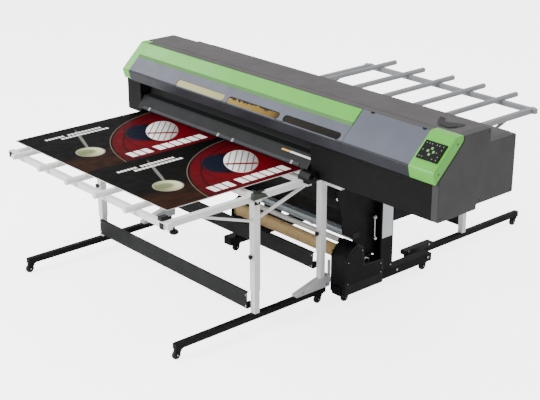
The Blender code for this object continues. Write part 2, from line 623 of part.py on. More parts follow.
def make_deck(name, turn, rod_y, rail_y, bar_ys):
    """Rails, cross bars and rods on their sleeves, with the braces up to the rails."""
    place = mirrored if turn else (lambda ys: ys)
    posts = POST_YS[:1] if turn else POST_YS
    pieces, bores = [], []
    for x in TABLE_X:
        pieces.append(box((x - RAIL_HALF, x + RAIL_HALF), rail_y, RAIL_Z))
    for y in bar_ys:
        pieces.append(box((TABLE_X[0] - 0.045, TABLE_X[1] + 0.045), (y - 0.020, y + 0.020),
                          (RAIL_Z[0] + 0.001, RAIL_Z[1] - 0.001)))
    pieces.append(box(DOCK_BAR_X, place((-0.520, -0.479)), (0.845, 0.889)))
    for x in ROD_XS:
        z = PATH_Z - ROD_RADIUS
        pieces.append(rod((x, rod_y[0], z), (x, rod_y[1], z), ROD_RADIUS, ROD_SIDES))
    for x in TABLE_X:
        for y, bottom in zip(posts, SLEEVE_BOTTOMS):
            outer, bore = sleeve(x, sum(place((y, y))) / 2, bottom)
            pieces.append(outer)
            bores.append(bore)
        for ends in (((-1.090, 0.735), (-1.524, 0.880)), ((-1.066, 0.742), (-0.600, 0.884))):
            start, end = [(x, sum(place((y, y))) / 2, z) for y, z in ends]
            pieces.append(bar(start, end, 0.022, 0.016))
    return finish(name, cut(unite(*pieces), *bores), PAINTS["white"], (0.0, sum(rail_y) / 2, RAIL_Z[0]))


def make_board():
    z = PATH_Z + FIT
    board = box(BOARD_X, BOARD_Y, (z, z + BOARD_THICK))
    return finish("printed_board", board, PAINTS["board"], (0.0, BOARD_Y[0], z))


# ---------------------------------------------------------------- casters

def make_fork_mesh():
    """A plate, a short swivel post and two cheeks beside the wheel, about the swivel axis."""
    plate = box((-0.019, 0.019), (-0.022, 0.022), (CASTER_TOP - FIT - 0.004, CASTER_TOP - FIT))
    neck = box((-0.0155, 0.0155), (-0.030, 0.012), (0.0615, CASTER_TOP - FIT - 0.002))
    cheeks = []
    for side in (-1, 1):
        x = sorted((side * (WHEEL_WIDTH / 2 + 0.0012), side * (WHEEL_WIDTH / 2 + 0.0042)))
        outline = [(-TRAIL - 0.010, 0.022), (-TRAIL + 0.010, 0.022), (0.012, 0.0650), (-TRAIL - 0.010, 0.0650)]
        cheeks.append(prism(outline, x))
    return unite(plate, neck, *cheeks)


def make_casters():
    """Twelve casters: each fork turns about its own swivel, and its wheel turns in the fork."""
    fork_model = make_fork_mesh()
    wheel_model = rod((-WHEEL_WIDTH / 2, 0.0, 0.0), (WHEEL_WIDTH / 2, 0.0, 0.0), WHEEL_RADIUS, 20)
    for stand, places in CASTER_PLACES.items():
        for number, (x, y) in enumerate(places, start=1):
            fork = add_object("fork", fork_model.data, WORKSHOP)
            finish(f"{stand}_caster_fork_{number}", fork, PAINTS["black_steel"])
            fork.location = (x, y, 0.0)
            wheel = add_object("wheel", wheel_model.data, WORKSHOP)
            finish(f"{stand}_caster_wheel_{number}", wheel, PAINTS["rubber"])
            wheel.parent = fork
            wheel.location = (0.0, -TRAIL, WHEEL_RADIUS)
    for model in (fork_model, wheel_model):
        bpy.data.objects.remove(model)


# ---------------------------------------------------------------- assembly

clear_scene()
PRINTER = new_collection("flatbed_uv_printer")
WORKSHOP = new_collection("workshop", hidden=True)
PAINTS = {
    "black_steel": material("black_steel", BLACK, 0.55, 0.3),
    "black_plastic": material("black_plastic", BLACK, 0.45, 0.0),
    "charcoal": material("charcoal", CHARCOAL, 0.50, 0.0),
    "grey": material("grey", GREY, 0.45, 0.0),
    "green": material("green", GREEN, 0.45, 0.0),
    "aluminium": material("aluminium", ALUMINIUM, 0.35, 1.0),
    "steel": material("steel", (0.55, 0.56, 0.58), 0.30, 1.0),
    "white": material("white", WHITE, 0.40, 0.0),
    "amber": material("amber", (0.60, 0.42, 0.10), 0.20, 0.0),
    "key": material("key", (0.45, 0.62, 0.38), 0.50, 0.0),
    "cardboard": material("cardboard", (0.60, 0.44, 0.26), 0.80, 0.0),
    "board": material("board", (0.10, 0.03, 0.03), 0.30, 0.0),
    "rubber": material("rubber", BLACK, 0.80, 0.0),
}

make_chassis()
make_platen()
make_side_cover("left_side_cover", -1, LEFT_COVER_DEPTH)
make_side_cover("right_side_cover", 1, RIGHT_COVER_DEPTH)
make_top_cover()
make_rear_cover()
make_cover_window(make_front_cover())
make_front_guard()
make_lower_front_panel()
make_right_front_panel()
make_control_housing()
make_key_bezel()
make_keys()
make_guide_rail()
make_uv_lamp(make_carriage())
make_capping_station()
make_feed_roller()
make_leg("left_leg", -1)
make_leg("right_leg", 1)
make_cross_bar()
make_takeup_drive()
make_takeup_core()
make_tension_tube()
make_lower_apron()
make_electronics_box()
make_load_lever()
make_table_base("front_base", False)
make_table_base("rear_base", True)
make_deck("front_deck", False, (-1.845, -0.610), (-1.790, -0.480), (-1.758, -1.078, -0.660))
make_deck("rear_deck", True, (0.085, 1.845), (0.100, 1.690), (0.160, 0.925, 1.657))
make_board()
make_casters()
bpy.data.collections.remove(WORKSHOP)
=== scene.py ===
# %% [markdown]
# # A flatbed UV printer between two roll-up tables
#
# A rigid board rolls over the front table, goes under the print carriage and leaves over the rear
# table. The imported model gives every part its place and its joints. This script gives the parts
# their skins: lacquered covers, powder-coated tube, anodised bars, a printed board and casters.
#
# Everything is in metres. X runs along the printer, Y is the feed direction, and Z is up.

# %% The frame
import math

import bpy
import numpy as np
from mathutils import Matrix


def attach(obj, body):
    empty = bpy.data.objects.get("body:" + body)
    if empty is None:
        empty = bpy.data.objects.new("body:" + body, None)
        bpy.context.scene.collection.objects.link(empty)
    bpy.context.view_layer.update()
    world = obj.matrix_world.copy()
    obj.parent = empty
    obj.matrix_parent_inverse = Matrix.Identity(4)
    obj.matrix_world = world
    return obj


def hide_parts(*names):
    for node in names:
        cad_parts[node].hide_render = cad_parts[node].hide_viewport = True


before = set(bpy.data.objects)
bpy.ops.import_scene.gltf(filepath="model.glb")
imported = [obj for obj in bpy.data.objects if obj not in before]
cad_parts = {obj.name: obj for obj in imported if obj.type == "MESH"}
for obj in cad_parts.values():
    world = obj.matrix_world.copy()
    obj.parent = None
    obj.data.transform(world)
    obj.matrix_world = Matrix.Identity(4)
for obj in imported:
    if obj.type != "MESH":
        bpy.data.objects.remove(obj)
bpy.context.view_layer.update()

# %% [markdown]
# ## Where local coordinates go
#
# Almost every piece here is an outline with a thickness. It is easiest to draw the outline flat, in
# coordinates (u, v), and to let w be the way it is carried. A placing matrix then says which world
# direction each of the three stands for. Its columns are u, v, w and the origin.

# %% Placing matrices
ALONG_X = np.array([[0, 0, 1, 0], [1, 0, 0, 0], [0, 1, 0, 0]], float)
ALONG_Y = np.array([[0, 1, 0, 0], [0, 0, 1, 0], [1, 0, 0, 0]], float)
UPRIGHT = np.array([[1, 0, 0, 0], [0, 1, 0, 0], [0, 0, 1, 0]], float)


def at(matrix, x=0.0, y=0.0, z=0.0):
    """The same directions from another origin."""
    moved = matrix.copy()
    moved[:, 3] = (x, y, z)
    return moved


def between(start, end, side=(1.0, 0.0, 0.0)):
    """w runs from start to end, and u stays as near to side as it can."""
    start, end = np.asarray(start, float), np.asarray(end, float)
    w = (end - start) / np.linalg.norm(end - start)
    v = np.cross(w, side)
    v /= np.linalg.norm(v)
    return np.column_stack([np.cross(v, w), v, w, start])


NOSE, TOP_FRONT = np.array([-0.652, 1.223]), np.array([-0.467, 1.400])
SLANT_LENGTH = float(np.linalg.norm(TOP_FRONT - NOSE))
UP_SLANT = (TOP_FRONT - NOSE) / SLANT_LENGTH
OFF_SLANT = np.array([-UP_SLANT[1], UP_SLANT[0]])
SLANT = np.array([[1, 0, 0, 0], [0, UP_SLANT[0], OFF_SLANT[0], NOSE[0]],
                  [0, UP_SLANT[1], OFF_SLANT[1], NOSE[1]]], float)


def on_slant(along, out):
    """(Y, Z) of a point so far up the slanted front and so far off it."""
    return tuple(NOSE + UP_SLANT * along + OFF_SLANT * out)


print("slanted front:", round(SLANT_LENGTH * 1000), "mm long")

# %% [markdown]
# ## Outlines
#
# Sheet metal and moulded covers have no sharp corners. A corner becomes a short curve whose ends
# lie one radius before and after it. Moving an outline inwards by a small distance gives the
# rings of a rounded edge, and moving it by the wall's thickness gives a hollow.

# %% Rounding and insetting an outline
def rounded(points, radius, steps=4):
    """Each corner P of a closed outline becomes B(t) = (1-t)^2 A + 2t(1-t) P + t^2 C.

    A and C lie one radius before and after P, but never past 48% of the edge. radius may be one
    number or one for each corner.
    """
    p = np.asarray(points, float)
    back, on = np.roll(p, 1, 0) - p, np.roll(p, -1, 0) - p
    back_len, on_len = np.linalg.norm(back, axis=1), np.linalg.norm(on, axis=1)
    reach = np.minimum(np.broadcast_to(radius, len(p)), 0.48 * np.minimum(back_len, on_len))
    a = p + back * (reach / back_len)[:, None]
    c = p + on * (reach / on_len)[:, None]
    t = np.linspace(0, 1, steps + 1)[None, :, None]
    curve = (1 - t) ** 2 * a[:, None] + 2 * t * (1 - t) * p[:, None] + t ** 2 * c[:, None]
    flat = curve.reshape(-1, 2)
    return flat[np.linalg.norm(np.roll(flat, -1, 0) - flat, axis=1) > 1e-7]


def anticlockwise(outline):
    """The outline turned so that its area, the sum of half its cross products, is positive."""
    o = np.asarray(outline, float)
    n = np.roll(o, -1, 0)
    return o if (o[:, 0] * n[:, 1] - n[:, 0] * o[:, 1]).sum() > 0 else o[::-1].copy()


def inset(outline, distance):
    """Every point goes inwards by distance, along (n1 + n2) / (1 + n1.n2) of its two edges."""
    o = np.asarray(outline, float)
    edge = np.roll(o, -1, 0) - o
    edge /= np.linalg.norm(edge, axis=1)[:, None]
    inward = np.column_stack([-edge[:, 1], edge[:, 0]])
    before = np.roll(inward, 1, 0)
    share = np.maximum(1 + (inward * before).sum(1), 0.35)
    return o + distance * (inward + before) / share[:, None]


def rectangle(u, v, radius=0.0):
    """A rectangle between two limits each way, with its corners rounded."""
    corners = [(u[0], v[0]), (u[1], v[0]), (u[1], v[1]), (u[0], v[1])]
    return rounded(corners, radius) if radius else np.array(corners, float)


def circle(radius, sides=24):
    """radius * (cos a, sin a) for equal steps of a."""
    a = np.arange(sides) * 2 * math.pi / sides
    return radius * np.column_stack([np.cos(a), np.sin(a)])


def strip(line, thickness):
    """A closed outline round a bent line: out along it, and back on its inward side."""
    p = np.asarray(line, float)
    edge = np.diff(p, axis=0)
    edge /= np.linalg.norm(edge, axis=1)[:, None]
    normal = np.column_stack([-edge[:, 1], edge[:, 0]])
    first, last = np.vstack([normal[:1], normal]), np.vstack([normal, normal[-1:]])
    share = np.maximum(1 + (first * last).sum(1), 0.35)
    return np.vstack([p, (p + thickness * (first + last) / share[:, None])[::-1]])


def bent(points, radius, steps=4):
    """An open line with its inner corners rounded as rounded() does."""
    p = np.asarray(points, float)
    reach = np.full(len(p), float(radius))
    reach[0] = reach[-1] = 0.0
    whole = rounded(p, np.maximum(reach, 1e-9), steps)
    start = int(np.argmin(np.linalg.norm(whole - p[0], axis=1)))
    turned = np.roll(whole, -start, 0)
    stop = int(np.argmin(np.linalg.norm(turned - p[-1], axis=1)))
    line = turned[:stop + 1]
    return line[np.r_[True, np.linalg.norm(np.diff(line, axis=0), axis=1) > 1e-6]]


# %% [markdown]
# ## Solids from rings
#
# One loft makes them all: a stack of rings with the same number of points, joined by quads and
# closed at both ends. A slab with quarter-round edges, a tube, a turned knob and a hollow cap
# differ only in how their rings are worked out.

# %% Lofts
CORNER_SHARE = 1.5  # a corner this many times its inset never folds over itself


def loft(rings, place, closed=False):
    """Joins rings[i, j] to its neighbours in i and j. The ends are capped, or joined if closed."""
    rings = np.asarray(rings, float)
    m, n, _ = rings.shape
    world = rings.reshape(-1, 3) @ place[:, :3].T + place[:, 3]
    i, j = np.meshgrid(np.arange(m if closed else m - 1), np.arange(n), indexing="ij")
    i2, j2 = (i + 1) % m, (j + 1) % n
    quads = np.stack([i * n + j, i * n + j2, i2 * n + j2, i2 * n + j], -1).reshape(-1, 4)
    faces = quads.tolist()
    if not closed:
        faces += [list(range(n - 1, -1, -1)), list(range((m - 1) * n, m * n))]
    return world, faces


def stack(outlines, heights):
    """Rings from outlines of equal length, each at its height w."""
    return np.stack([np.column_stack([o, np.full(len(o), h)]) for o, h in zip(outlines, heights)])


def quarter(edge, steps=3):
    """How far in and how far along the points of a quarter-round edge lie."""
    t = np.linspace(0, math.pi / 2, steps + 1)
    return edge * (1 - np.sin(t)), edge * (1 - np.cos(t))


def slab(outline, low, high, edge=0.001, place=UPRIGHT, steps=3):
    """An outline with a thickness, and a quarter-round along both of its rims."""
    o = anticlockwise(outline)
    inwards, along = quarter(edge, steps)
    depths = np.r_[inwards, inwards[::-1]]
    heights = np.r_[low + along, (high - along)[::-1]]
    return loft(stack([inset(o, d) for d in depths], heights), place)


def block(x, y, z, edge=0.0015):
    """A slab with a rectangular outline, carried the way it is longest."""
    sizes = [x[1] - x[0], y[1] - y[0], z[1] - z[0]]
    way = int(np.argmax(sizes))
    corner = edge * CORNER_SHARE
    if way == 0:
        return slab(rectangle(y, z, corner), x[0], x[1], edge, ALONG_X, 2)
    if way == 1:
        return slab(rectangle(z, x, corner), y[0], y[1], edge, ALONG_Y, 2)
    return slab(rectangle(x, y, corner), z[0], z[1], edge, UPRIGHT, 2)


def hollow_tube(outline, wall, low, high, place=UPRIGHT, edge=0.0006):
    """A tube open at both ends: up the outside, over the rim, down the inside, closed on itself."""
    o = anticlockwise(outline)
    depths = [edge, 0, 0, edge, wall - edge, wall, wall, wall - edge]
    heights = [low, low + edge, high - edge, high, high, high - edge, low + edge, low]
    return loft(stack([inset(o, d) for d in depths], heights), place, closed=True)


def hollow_cap(outline, wall, low, high, edge, place):
    """A cap closed at low and open at high, with a quarter-round where its end meets its rim."""
    o = anticlockwise(outline)
    inwards, along = quarter(edge)
    depths = np.r_[inwards, 0.0, 0.0005, wall, wall]
    heights = np.r_[low + along, high - 0.0005, high, high, low + wall]
    return loft(stack([inset(o, d) for d in depths], heights), place)


def turned(profile, place, sides=24):
    """A turned part: the point (r, w) of the profile goes round as (r cos a, r sin a, w)."""
    rings = [circle(max(r, 1e-4), sides) for r, _ in profile]
    return loft(stack(rings, [w for _, w in profile]), place)


def round_bar(start, end, radius, sides=18, edge=0.001):
    """A straight round bar with eased ends."""
    length = float(np.linalg.norm(np.subtract(end, start)))
    side = (1.0, 0.0, 0.0) if abs(end[0] - start[0]) < 0.9 * length else (0.0, 1.0, 0.0)
    profile = [(radius - edge, 0), (radius, edge), (radius, length - edge), (radius - edge, length)]
    return turned(profile, between(start, end, side), sides)


def round_tube(start, end, radius, wall, sides=20):
    """A straight round tube that one can look into."""
    length = float(np.linalg.norm(np.subtract(end, start)))
    side = (1.0, 0.0, 0.0) if abs(end[0] - start[0]) < 0.9 * length else (0.0, 1.0, 0.0)
    return hollow_tube(circle(radius, sides), wall, 0, length, between(start, end, side))


def pipe(path, radius, sides=12):
    """A round bar bent along a path in a plane of constant X: circles square to the path."""
    p = np.asarray(path, float)
    tangent = np.gradient(p, axis=0)
    tangent /= np.linalg.norm(tangent, axis=1)[:, None]
    across = np.tile([1.0, 0.0, 0.0], (len(p), 1))
    other = np.cross(tangent, across)
    a = np.arange(sides) * 2 * math.pi / sides
    ring = (np.cos(a)[None, :, None] * across[:, None] + np.sin(a)[None, :, None] * other[:, None])
    return loft(p[:, None] + radius * ring, UPRIGHT)


def mirrored_y(part, y):
    """A part turned round to the other side of a plane of constant Y, with its faces reversed."""
    points, faces = part
    points = points.copy()
    points[:, 1] = 2 * y - points[:, 1]
    return points, [face[::-1] for face in faces]


def bolt(place, radius=0.006, height=0.004):
    """A low round screw head with a socket in it."""
    r, h = radius, height
    return turned([(r * 0.96, 0), (r, h * 0.2), (r, h * 0.7), (r * 0.8, h), (r * 0.45, h),
                   (r * 0.4, h * 0.4), (r * 0.1, h * 0.4)], place, 14)


# %% [markdown]
# ## From parts to a piece
#
# A piece is one object with one material. It rides on a body of the printer, so it moves with
# that body's joint, and it may stand for a CAD node. Edges sharper than 35 degrees stay crisp, and
# the rest is shaded smooth.

# %% Making a piece
SHARP_ANGLE = math.radians(35)


def weigh_normals(made):
    """Large flat faces decide the shading at their corners, so that eased edges don't bend it."""
    weighing = made.modifiers.new("weighted_normals", "WEIGHTED_NORMAL")
    weighing.keep_sharp = True
    weighing.weight = 80


def piece(name, parts, body, material, replaces=()):
    """Joins parts into one mesh, paints it, and lets it ride on a body."""
    points = np.vstack([p for p, _ in parts])
    starts = np.cumsum([0] + [len(p) for p, _ in parts[:-1]])
    faces = [[v + start for v in face] for (_, part), start in zip(parts, starts) for face in part]
    mesh = bpy.data.meshes.new(name)
    mesh.from_pydata(points.tolist(), [], faces)
    mesh.shade_smooth()
    mesh.set_sharp_from_angle(angle=SHARP_ANGLE)
    mesh.materials.append(material)
    made = bpy.data.objects.new(name, mesh)
    bpy.context.scene.collection.objects.link(made)
    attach(made, body)
    if replaces:
        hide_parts(*replaces)
    weigh_normals(made)
    return made


# %% [markdown]
# ## Finishes
#
# Colours are written as sRGB hex codes, the way a paint chart gives them, and turned to linear
# light by one function. Patterns are sized in millimetres: a noise texture's scale is the number
# of spots in a metre, so 1000 divided by the size of one spot.

# %% Colour and node helpers
def linear(code):
    """sRGB to linear: c / 12.92 up to 0.04045, and ((c + 0.055) / 1.055) ** 2.4 above it."""
    c = np.array([int(code[i:i + 2], 16) for i in (1, 3, 5)]) / 255
    value = np.where(c <= 0.04045, c / 12.92, ((c + 0.055) / 1.055) ** 2.4)
    return (*value.tolist(), 1.0)


def add(tree, kind, inputs=None, **settings):
    """Adds one node. inputs maps a socket to its value, or to the socket that feeds it."""
    new = tree.nodes.new("ShaderNode" + kind)
    for key, value in settings.items():
        setattr(new, key, value)
    for key, value in (inputs or {}).items():
        if isinstance(value, bpy.types.NodeSocket):
            tree.links.new(value, new.inputs[key])
        else:
            new.inputs[key].default_value = value
    return new


def new_finish(name, **sockets):
    """A material with one Principled shader, its sockets set from words such as Coat_Weight."""
    material = bpy.data.materials.new(name)
    material.use_nodes = True
    tree = material.node_tree
    shader = tree.nodes["Principled BSDF"]
    for key, value in sockets.items():
        shader.inputs[key.replace("_", " ")].default_value = value
    return material, tree, shader


def cloud(tree, size_mm, detail=3.0, stretch=(1.0, 1.0, 1.0)):
    """Noise in object coordinates, its spots so many millimetres across, longer where stretched."""
    where = add(tree, "TexCoord").outputs["Object"]
    scale = tuple(1.0 / s for s in stretch)
    where = add(tree, "Mapping", {"Vector": where, "Scale": scale}).outputs[0]
    noise = add(tree, "TexNoise", {"Vector": where, "Scale": 1000.0 / size_mm, "Detail": detail})
    return noise.outputs[0]


def between_values(tree, value, low, high, start=0.3, end=0.7):
    """Turns a noise value between start and end into one between low and high."""
    ranged = add(tree, "MapRange", {"Value": value, "From Min": start, "From Max": end,
                                    "To Min": low, "To Max": high})
    return ranged.outputs[0]


def blend_colours(tree, share, first, second):
    """(1 - share) * first + share * second."""
    mixed = add(tree, "Mix", {0: share, 6: first, 7: second}, data_type="RGBA")
    return mixed.outputs[2]


def relief(tree, height, depth_mm, strength=1.0):
    """A bump from a height between 0 and 1, so many millimetres deep."""
    raised = add(tree, "Bump", {"Height": height, "Distance": depth_mm / 1000, "Strength": strength})
    return raised.outputs[0]


# %% [markdown]
# ### Paint, powder coat and moulded covers
#
# Covers of this kind are vacuum-formed or folded, and painted. The eye sees a satin skin, a very
# shallow orange peel, slightly uneven tone over a hand's width, and duller patches where it has
# been wiped. Real orange peel is 1 to 2 mm, too fine to show here, so it is drawn at 5 mm.

# %% Painted finishes
def painted(name, light, dark, roughness, peel_mm=5.0, peel_depth=0.05, coat=0.0, shine=0.5):
    """Satin paint: two close tones in hand-sized clouds, uneven gloss, and orange peel."""
    material, tree, shader = new_finish(name, Coat_Weight=coat, Coat_Roughness=0.12, IOR=1.5,
                                        Specular_IOR_Level=shine)
    tone = between_values(tree, cloud(tree, 260.0, 2.0), 0.0, 1.0)
    tree.links.new(blend_colours(tree, tone, linear(light), linear(dark)), shader.inputs["Base Color"])
    gloss = between_values(tree, cloud(tree, 90.0, 4.0), roughness - 0.04, roughness + 0.06)
    tree.links.new(gloss, shader.inputs["Roughness"])
    tree.links.new(relief(tree, cloud(tree, peel_mm, 1.5), peel_depth), shader.inputs["Normal"])
    return material


GREEN = painted("green_lacquer", "#58b03a", "#50a633", 0.36, coat=0.15)
# A darker copy of the green lacquer: painted shade on the band's bevel, and also used on the housing's side
# plugs.
DARK_GREEN = painted("green_lacquer_painted_shade", "#3c7527", "#366b22", 0.42)
GREY = painted("blue_grey_satin", "#585c68", "#50535e", 0.40, shine=0.4)
# Dark slate: painted shade on the lip under the nose, and the colour of the clamp strip on the guard.
SLATE_AND_LIP_SHADE = painted("slate_satin_and_painted_lip_shade", "#26282f", "#212329", 0.45, shine=0.3)
CHARCOAL = painted("charcoal_satin", "#3a3a3a", "#343434", 0.50, shine=0.3)
ROOF = painted("warm_charcoal_satin", "#4a4648", "#423f40", 0.55, shine=0.3)
BLACK = painted("black_powder_coat", "#070708", "#050506", 0.55, 4.0, 0.12, shine=0.15)
BLACK_PLASTIC = painted("black_abs", "#08080a", "#060607", 0.42, 3.0, 0.08, shine=0.2)
PANEL_GREY = painted("graphite_powder_coat", "#1b1c1d", "#161718", 0.55, 4.0, 0.10, shine=0.2)
WHITE = painted("white_powder_coat", "#e4e3e2", "#dad9d8", 0.36, 4.0, 0.08)
PALE_GREY = painted("rear_deck_grey", "#86888b", "#7c7e81", 0.45, 4.0, 0.10, shine=0.3)
KEY_GREEN = painted("pale_green_rubber", "#6f9b5c", "#668f54", 0.60)
FLANGE_TAN = painted("tan_flange", "#c2ab6a", "#b49d5e", 0.45)
FOOT_GREY = painted("pale_foot", "#b9babc", "#adaeb0", 0.42)
BAR_GREY = painted("clear_anodised_bar", "#b7c1c5", "#a9b4b9", 0.38)
CORNER_GREY = painted("corner_grey_moulding", "#3a4038", "#343a33", 0.50, shine=0.3)
CLIP_GREY = painted("clip_grey", "#8c8d8f", "#7f8082", 0.40)
KEY_PALE = painted("pale_rubber_keys", "#6c7468", "#626a5e", 0.65)

# %% [markdown]
# ### Bare metal
#
# Extruded aluminium carries fine die lines along its length, and anodising softens its shine.
# Lines are noise stretched a few hundred times along the bar. Real die lines are under 0.1 mm, so
# they are drawn 1.5 mm wide to be seen at all. Ground steel is brighter, and its unevenness has no
# direction.


# %% Metal finishes
def drawn_metal(name, light, dark, roughness, stretch, line_mm=1.5):
    """Metal with lines along one axis: they change its tone and its roughness a little."""
    material, tree, shader = new_finish(name, Metallic=1.0)
    lines = cloud(tree, line_mm, 2.0, stretch)
    tone = between_values(tree, lines, 0.0, 1.0)
    tree.links.new(blend_colours(tree, tone, linear(light), linear(dark)), shader.inputs["Base Color"])
    gloss = between_values(tree, lines, roughness - 0.06, roughness + 0.08)
    tree.links.new(gloss, shader.inputs["Roughness"])
    tree.links.new(relief(tree, lines, 0.04), shader.inputs["Normal"])
    return material


ALONG = (300.0, 1.0, 1.0)
ALUMINIUM_X = drawn_metal("anodised_bar", "#c3c9cd", "#b3babf", 0.38, ALONG)
BRASS = drawn_metal("dull_brass", "#c9a24c", "#b58f3e", 0.40, ALONG)
STEEL = drawn_metal("bright_steel", "#c9c9ca", "#b2b2b4", 0.24, (1.0, 1.0, 1.0), 6.0)

# %% [markdown]
# ### Cardboard, rubber and the window
#
# A cardboard core is wound from a strip, so a seam climbs round it like a screw thread: the seam
# is where x / pitch plus the angle round the core passes a whole number. The window is a clear
# sheet with painted light on it: painted reflections of the lit inside make it cream at the left,
# amber in the middle, and nearly black to the right, and a painted shadow gives it a ragged dark
# upper edge where the inside is in shade.


# %% Cardboard, rubber, label and window
CORE_Y, CORE_Z = -0.400, 0.350


def cardboard():
    """A wound tube: a dark seam where x / pitch + angle / 2 pi passes a whole number."""
    material, tree, shader = new_finish("wound_cardboard", Roughness=0.85)
    where = add(tree, "TexCoord").outputs["Object"]
    centred = add(tree, "Mapping", {"Vector": where, "Location": (0.0, -CORE_Y, -CORE_Z)}).outputs[0]
    axes = add(tree, "SeparateXYZ", {0: centred}).outputs
    angle = add(tree, "Math", {0: axes[2], 1: axes[1]}, operation="ARCTAN2").outputs[0]
    turns = add(tree, "Math", {0: angle, 1: 1 / (2 * math.pi)}, operation="MULTIPLY").outputs[0]
    pitch = add(tree, "Math", {0: axes[0], 1: 1 / 0.110}, operation="MULTIPLY").outputs[0]
    wound = add(tree, "Math", {0: pitch, 1: turns}, operation="ADD").outputs[0]
    seam = add(tree, "Math", {0: wound}, operation="FRACT").outputs[0]
    dark = between_values(tree, seam, 1.0, 0.0, 0.0, 0.06)
    fibre = between_values(tree, cloud(tree, 7.0, 5.0), 0.0, 0.35)
    share = add(tree, "Math", {0: dark, 1: fibre}, operation="MAXIMUM").outputs[0]
    paper = blend_colours(tree, share, linear("#dcbd88"), linear("#a98552"))
    tree.links.new(paper, shader.inputs["Base Color"])
    tree.links.new(relief(tree, share, 0.3), shader.inputs["Normal"])
    return material


def rubber():
    """Dark caster tread: matt, with dust in soft patches."""
    material, tree, shader = new_finish("caster_rubber", Specular_IOR_Level=0.35)
    dust = between_values(tree, cloud(tree, 14.0, 5.0), 0.0, 0.5)
    tree.links.new(blend_colours(tree, dust, linear("#141415"), linear("#2a2a2b")),
                   shader.inputs["Base Color"])
    tree.links.new(between_values(tree, dust, 0.55, 0.8, 0.0, 0.5), shader.inputs["Roughness"])
    return material


def window_painted_light(x_steps):
    """Clear sheet with painted light: painted reflections of a lit inside whose tone goes by x, and a painted
    shadow on its upper edge by height.
    """
    material, tree, shader = new_finish("window_with_painted_light", Roughness=0.35, IOR=1.49,
                                        Specular_IOR_Level=0.15)
    where = add(tree, "TexCoord").outputs["Object"]
    axes = add(tree, "SeparateXYZ", {0: where}).outputs
    ramp = add(tree, "ValToRGB", {0: between_values(tree, axes[0], 0.0, 1.0, *x_steps)})
    # Painted reflections of the lit inside: cream, then amber, then nearly black along x.
    tones = ((0.0, "#a9a67a"), (0.31, "#9d9968"), (0.35, "#8a7232"), (0.60, "#6d5216"),
             (0.66, "#191206"), (1.0, "#070503"))
    ramp.color_ramp.elements[0].color = linear(tones[0][1])
    ramp.color_ramp.elements[1].color = linear(tones[-1][1])
    for place, code in tones[1:-1]:
        ramp.color_ramp.elements.new(place).color = linear(code)
    # A painted shadow with a ragged lower edge across the top of the right-hand part.
    ripple = between_values(tree, cloud(tree, 26.0, 2.0), -0.009, 0.009)
    height = add(tree, "Math", {0: axes[2], 1: ripple}, operation="ADD").outputs[0]
    shade = between_values(tree, height, 0.0, 1.0, 1.2545, 1.2570)
    right = between_values(tree, axes[0], 0.0, 1.0, -0.40, -0.32)
    share = add(tree, "Math", {0: shade, 1: right}, operation="MULTIPLY").outputs[0]
    tone = blend_colours(tree, share, ramp.outputs[0], linear("#14120c"))
    tree.links.new(tone, shader.inputs["Base Color"])
    return material


CARDBOARD, RUBBER = cardboard(), rubber()
LABEL = painted("blank_label", "#c9cccf", "#c2c5c8", 0.40)
print("finishes:", len(bpy.data.materials))

# %% [markdown]
# ## The long hinged cover
#
# The cover is one bent panel that opens about its top edge. Its upper part is a green band that
# stands a few millimetres proud, with a bevel along its lower edge painted darker as painted
# shade. Below that is the grey fascia with three long windows, and under the nose a lip painted
# dark slate as painted shade.
#
# The fascia is a grid with six rows. Rows three and four part where a window is, by the half
# height of a stadium at that x, and are one line everywhere else, so the hole needs no boolean.

# %% The cover's panels
COVER_X, SHEET = (-1.4445, 0.770), 0.004
WINDOW_STARTS, WINDOW_LENGTH = (-0.895, -0.338, 0.220), 0.518
WINDOW_MIDDLE, WINDOW_HALF, LIP_WIDTH, LIP_DROP = 0.037, 0.025, 0.0025, 0.0018
BAND_LOW, BAND_HIGH, PROUD = 0.126, 0.150, 0.005


def fascia(x_range, low, high):
    """Grid f(x, row): rows at low, m - h - b, m - h, m + h, m + h + b and high up the slant.

    h is the stadium's half height at x, zero outside the windows, and b the width of the lip. Rows
    three and four meet where h is zero, and their points are merged.
    """
    t = np.linspace(0, math.pi / 2, 9)
    ends = WINDOW_HALF * (1 - np.cos(t))
    xs, halves = [x_range[0], x_range[1]], [0.0, 0.0]
    for start in WINDOW_STARTS:
        xs += [*(start + ends), *(start + WINDOW_LENGTH - ends)]
        halves += [*(WINDOW_HALF * np.sin(t))] * 2
    order = np.argsort(xs)
    x, h = np.array(xs)[order], np.array(halves)[order]
    flat = np.zeros_like(x)
    m, b = WINDOW_MIDDLE, LIP_WIDTH
    rows = np.stack([flat + low, m - h - b, m - h, m + h, m + h + b, flat + high], 1)
    drop = np.where(h > 0, -LIP_DROP, 0.0)
    out = np.stack([flat, flat, drop, drop, flat, flat], 1)
    local = np.stack([np.repeat(x[:, None], 6, 1), rows, out], -1).reshape(-1, 3)
    unique, index = np.unique(local.round(6), axis=0, return_inverse=True)
    i, j = np.meshgrid(np.arange(len(x) - 1), [0, 1, 3, 4], indexing="ij")
    quads = np.stack([i * 6 + j, (i + 1) * 6 + j, (i + 1) * 6 + j + 1, i * 6 + j + 1], -1)
    faces = index.ravel()[quads.reshape(-1, 4)]
    return unique @ SLANT[:, :3].T + SLANT[:, 3], [list(dict.fromkeys(f)) for f in faces.tolist()]


grey_front = piece("cover_fascia", [fascia(COVER_X, 0.010, BAND_LOW)], "cover", GREY,
                   ["front_cover"])
thick = grey_front.modifiers.new("sheet", "SOLIDIFY")
thick.thickness, thick.offset = SHEET, -1.0
grey_front.modifiers.move(1, 0)

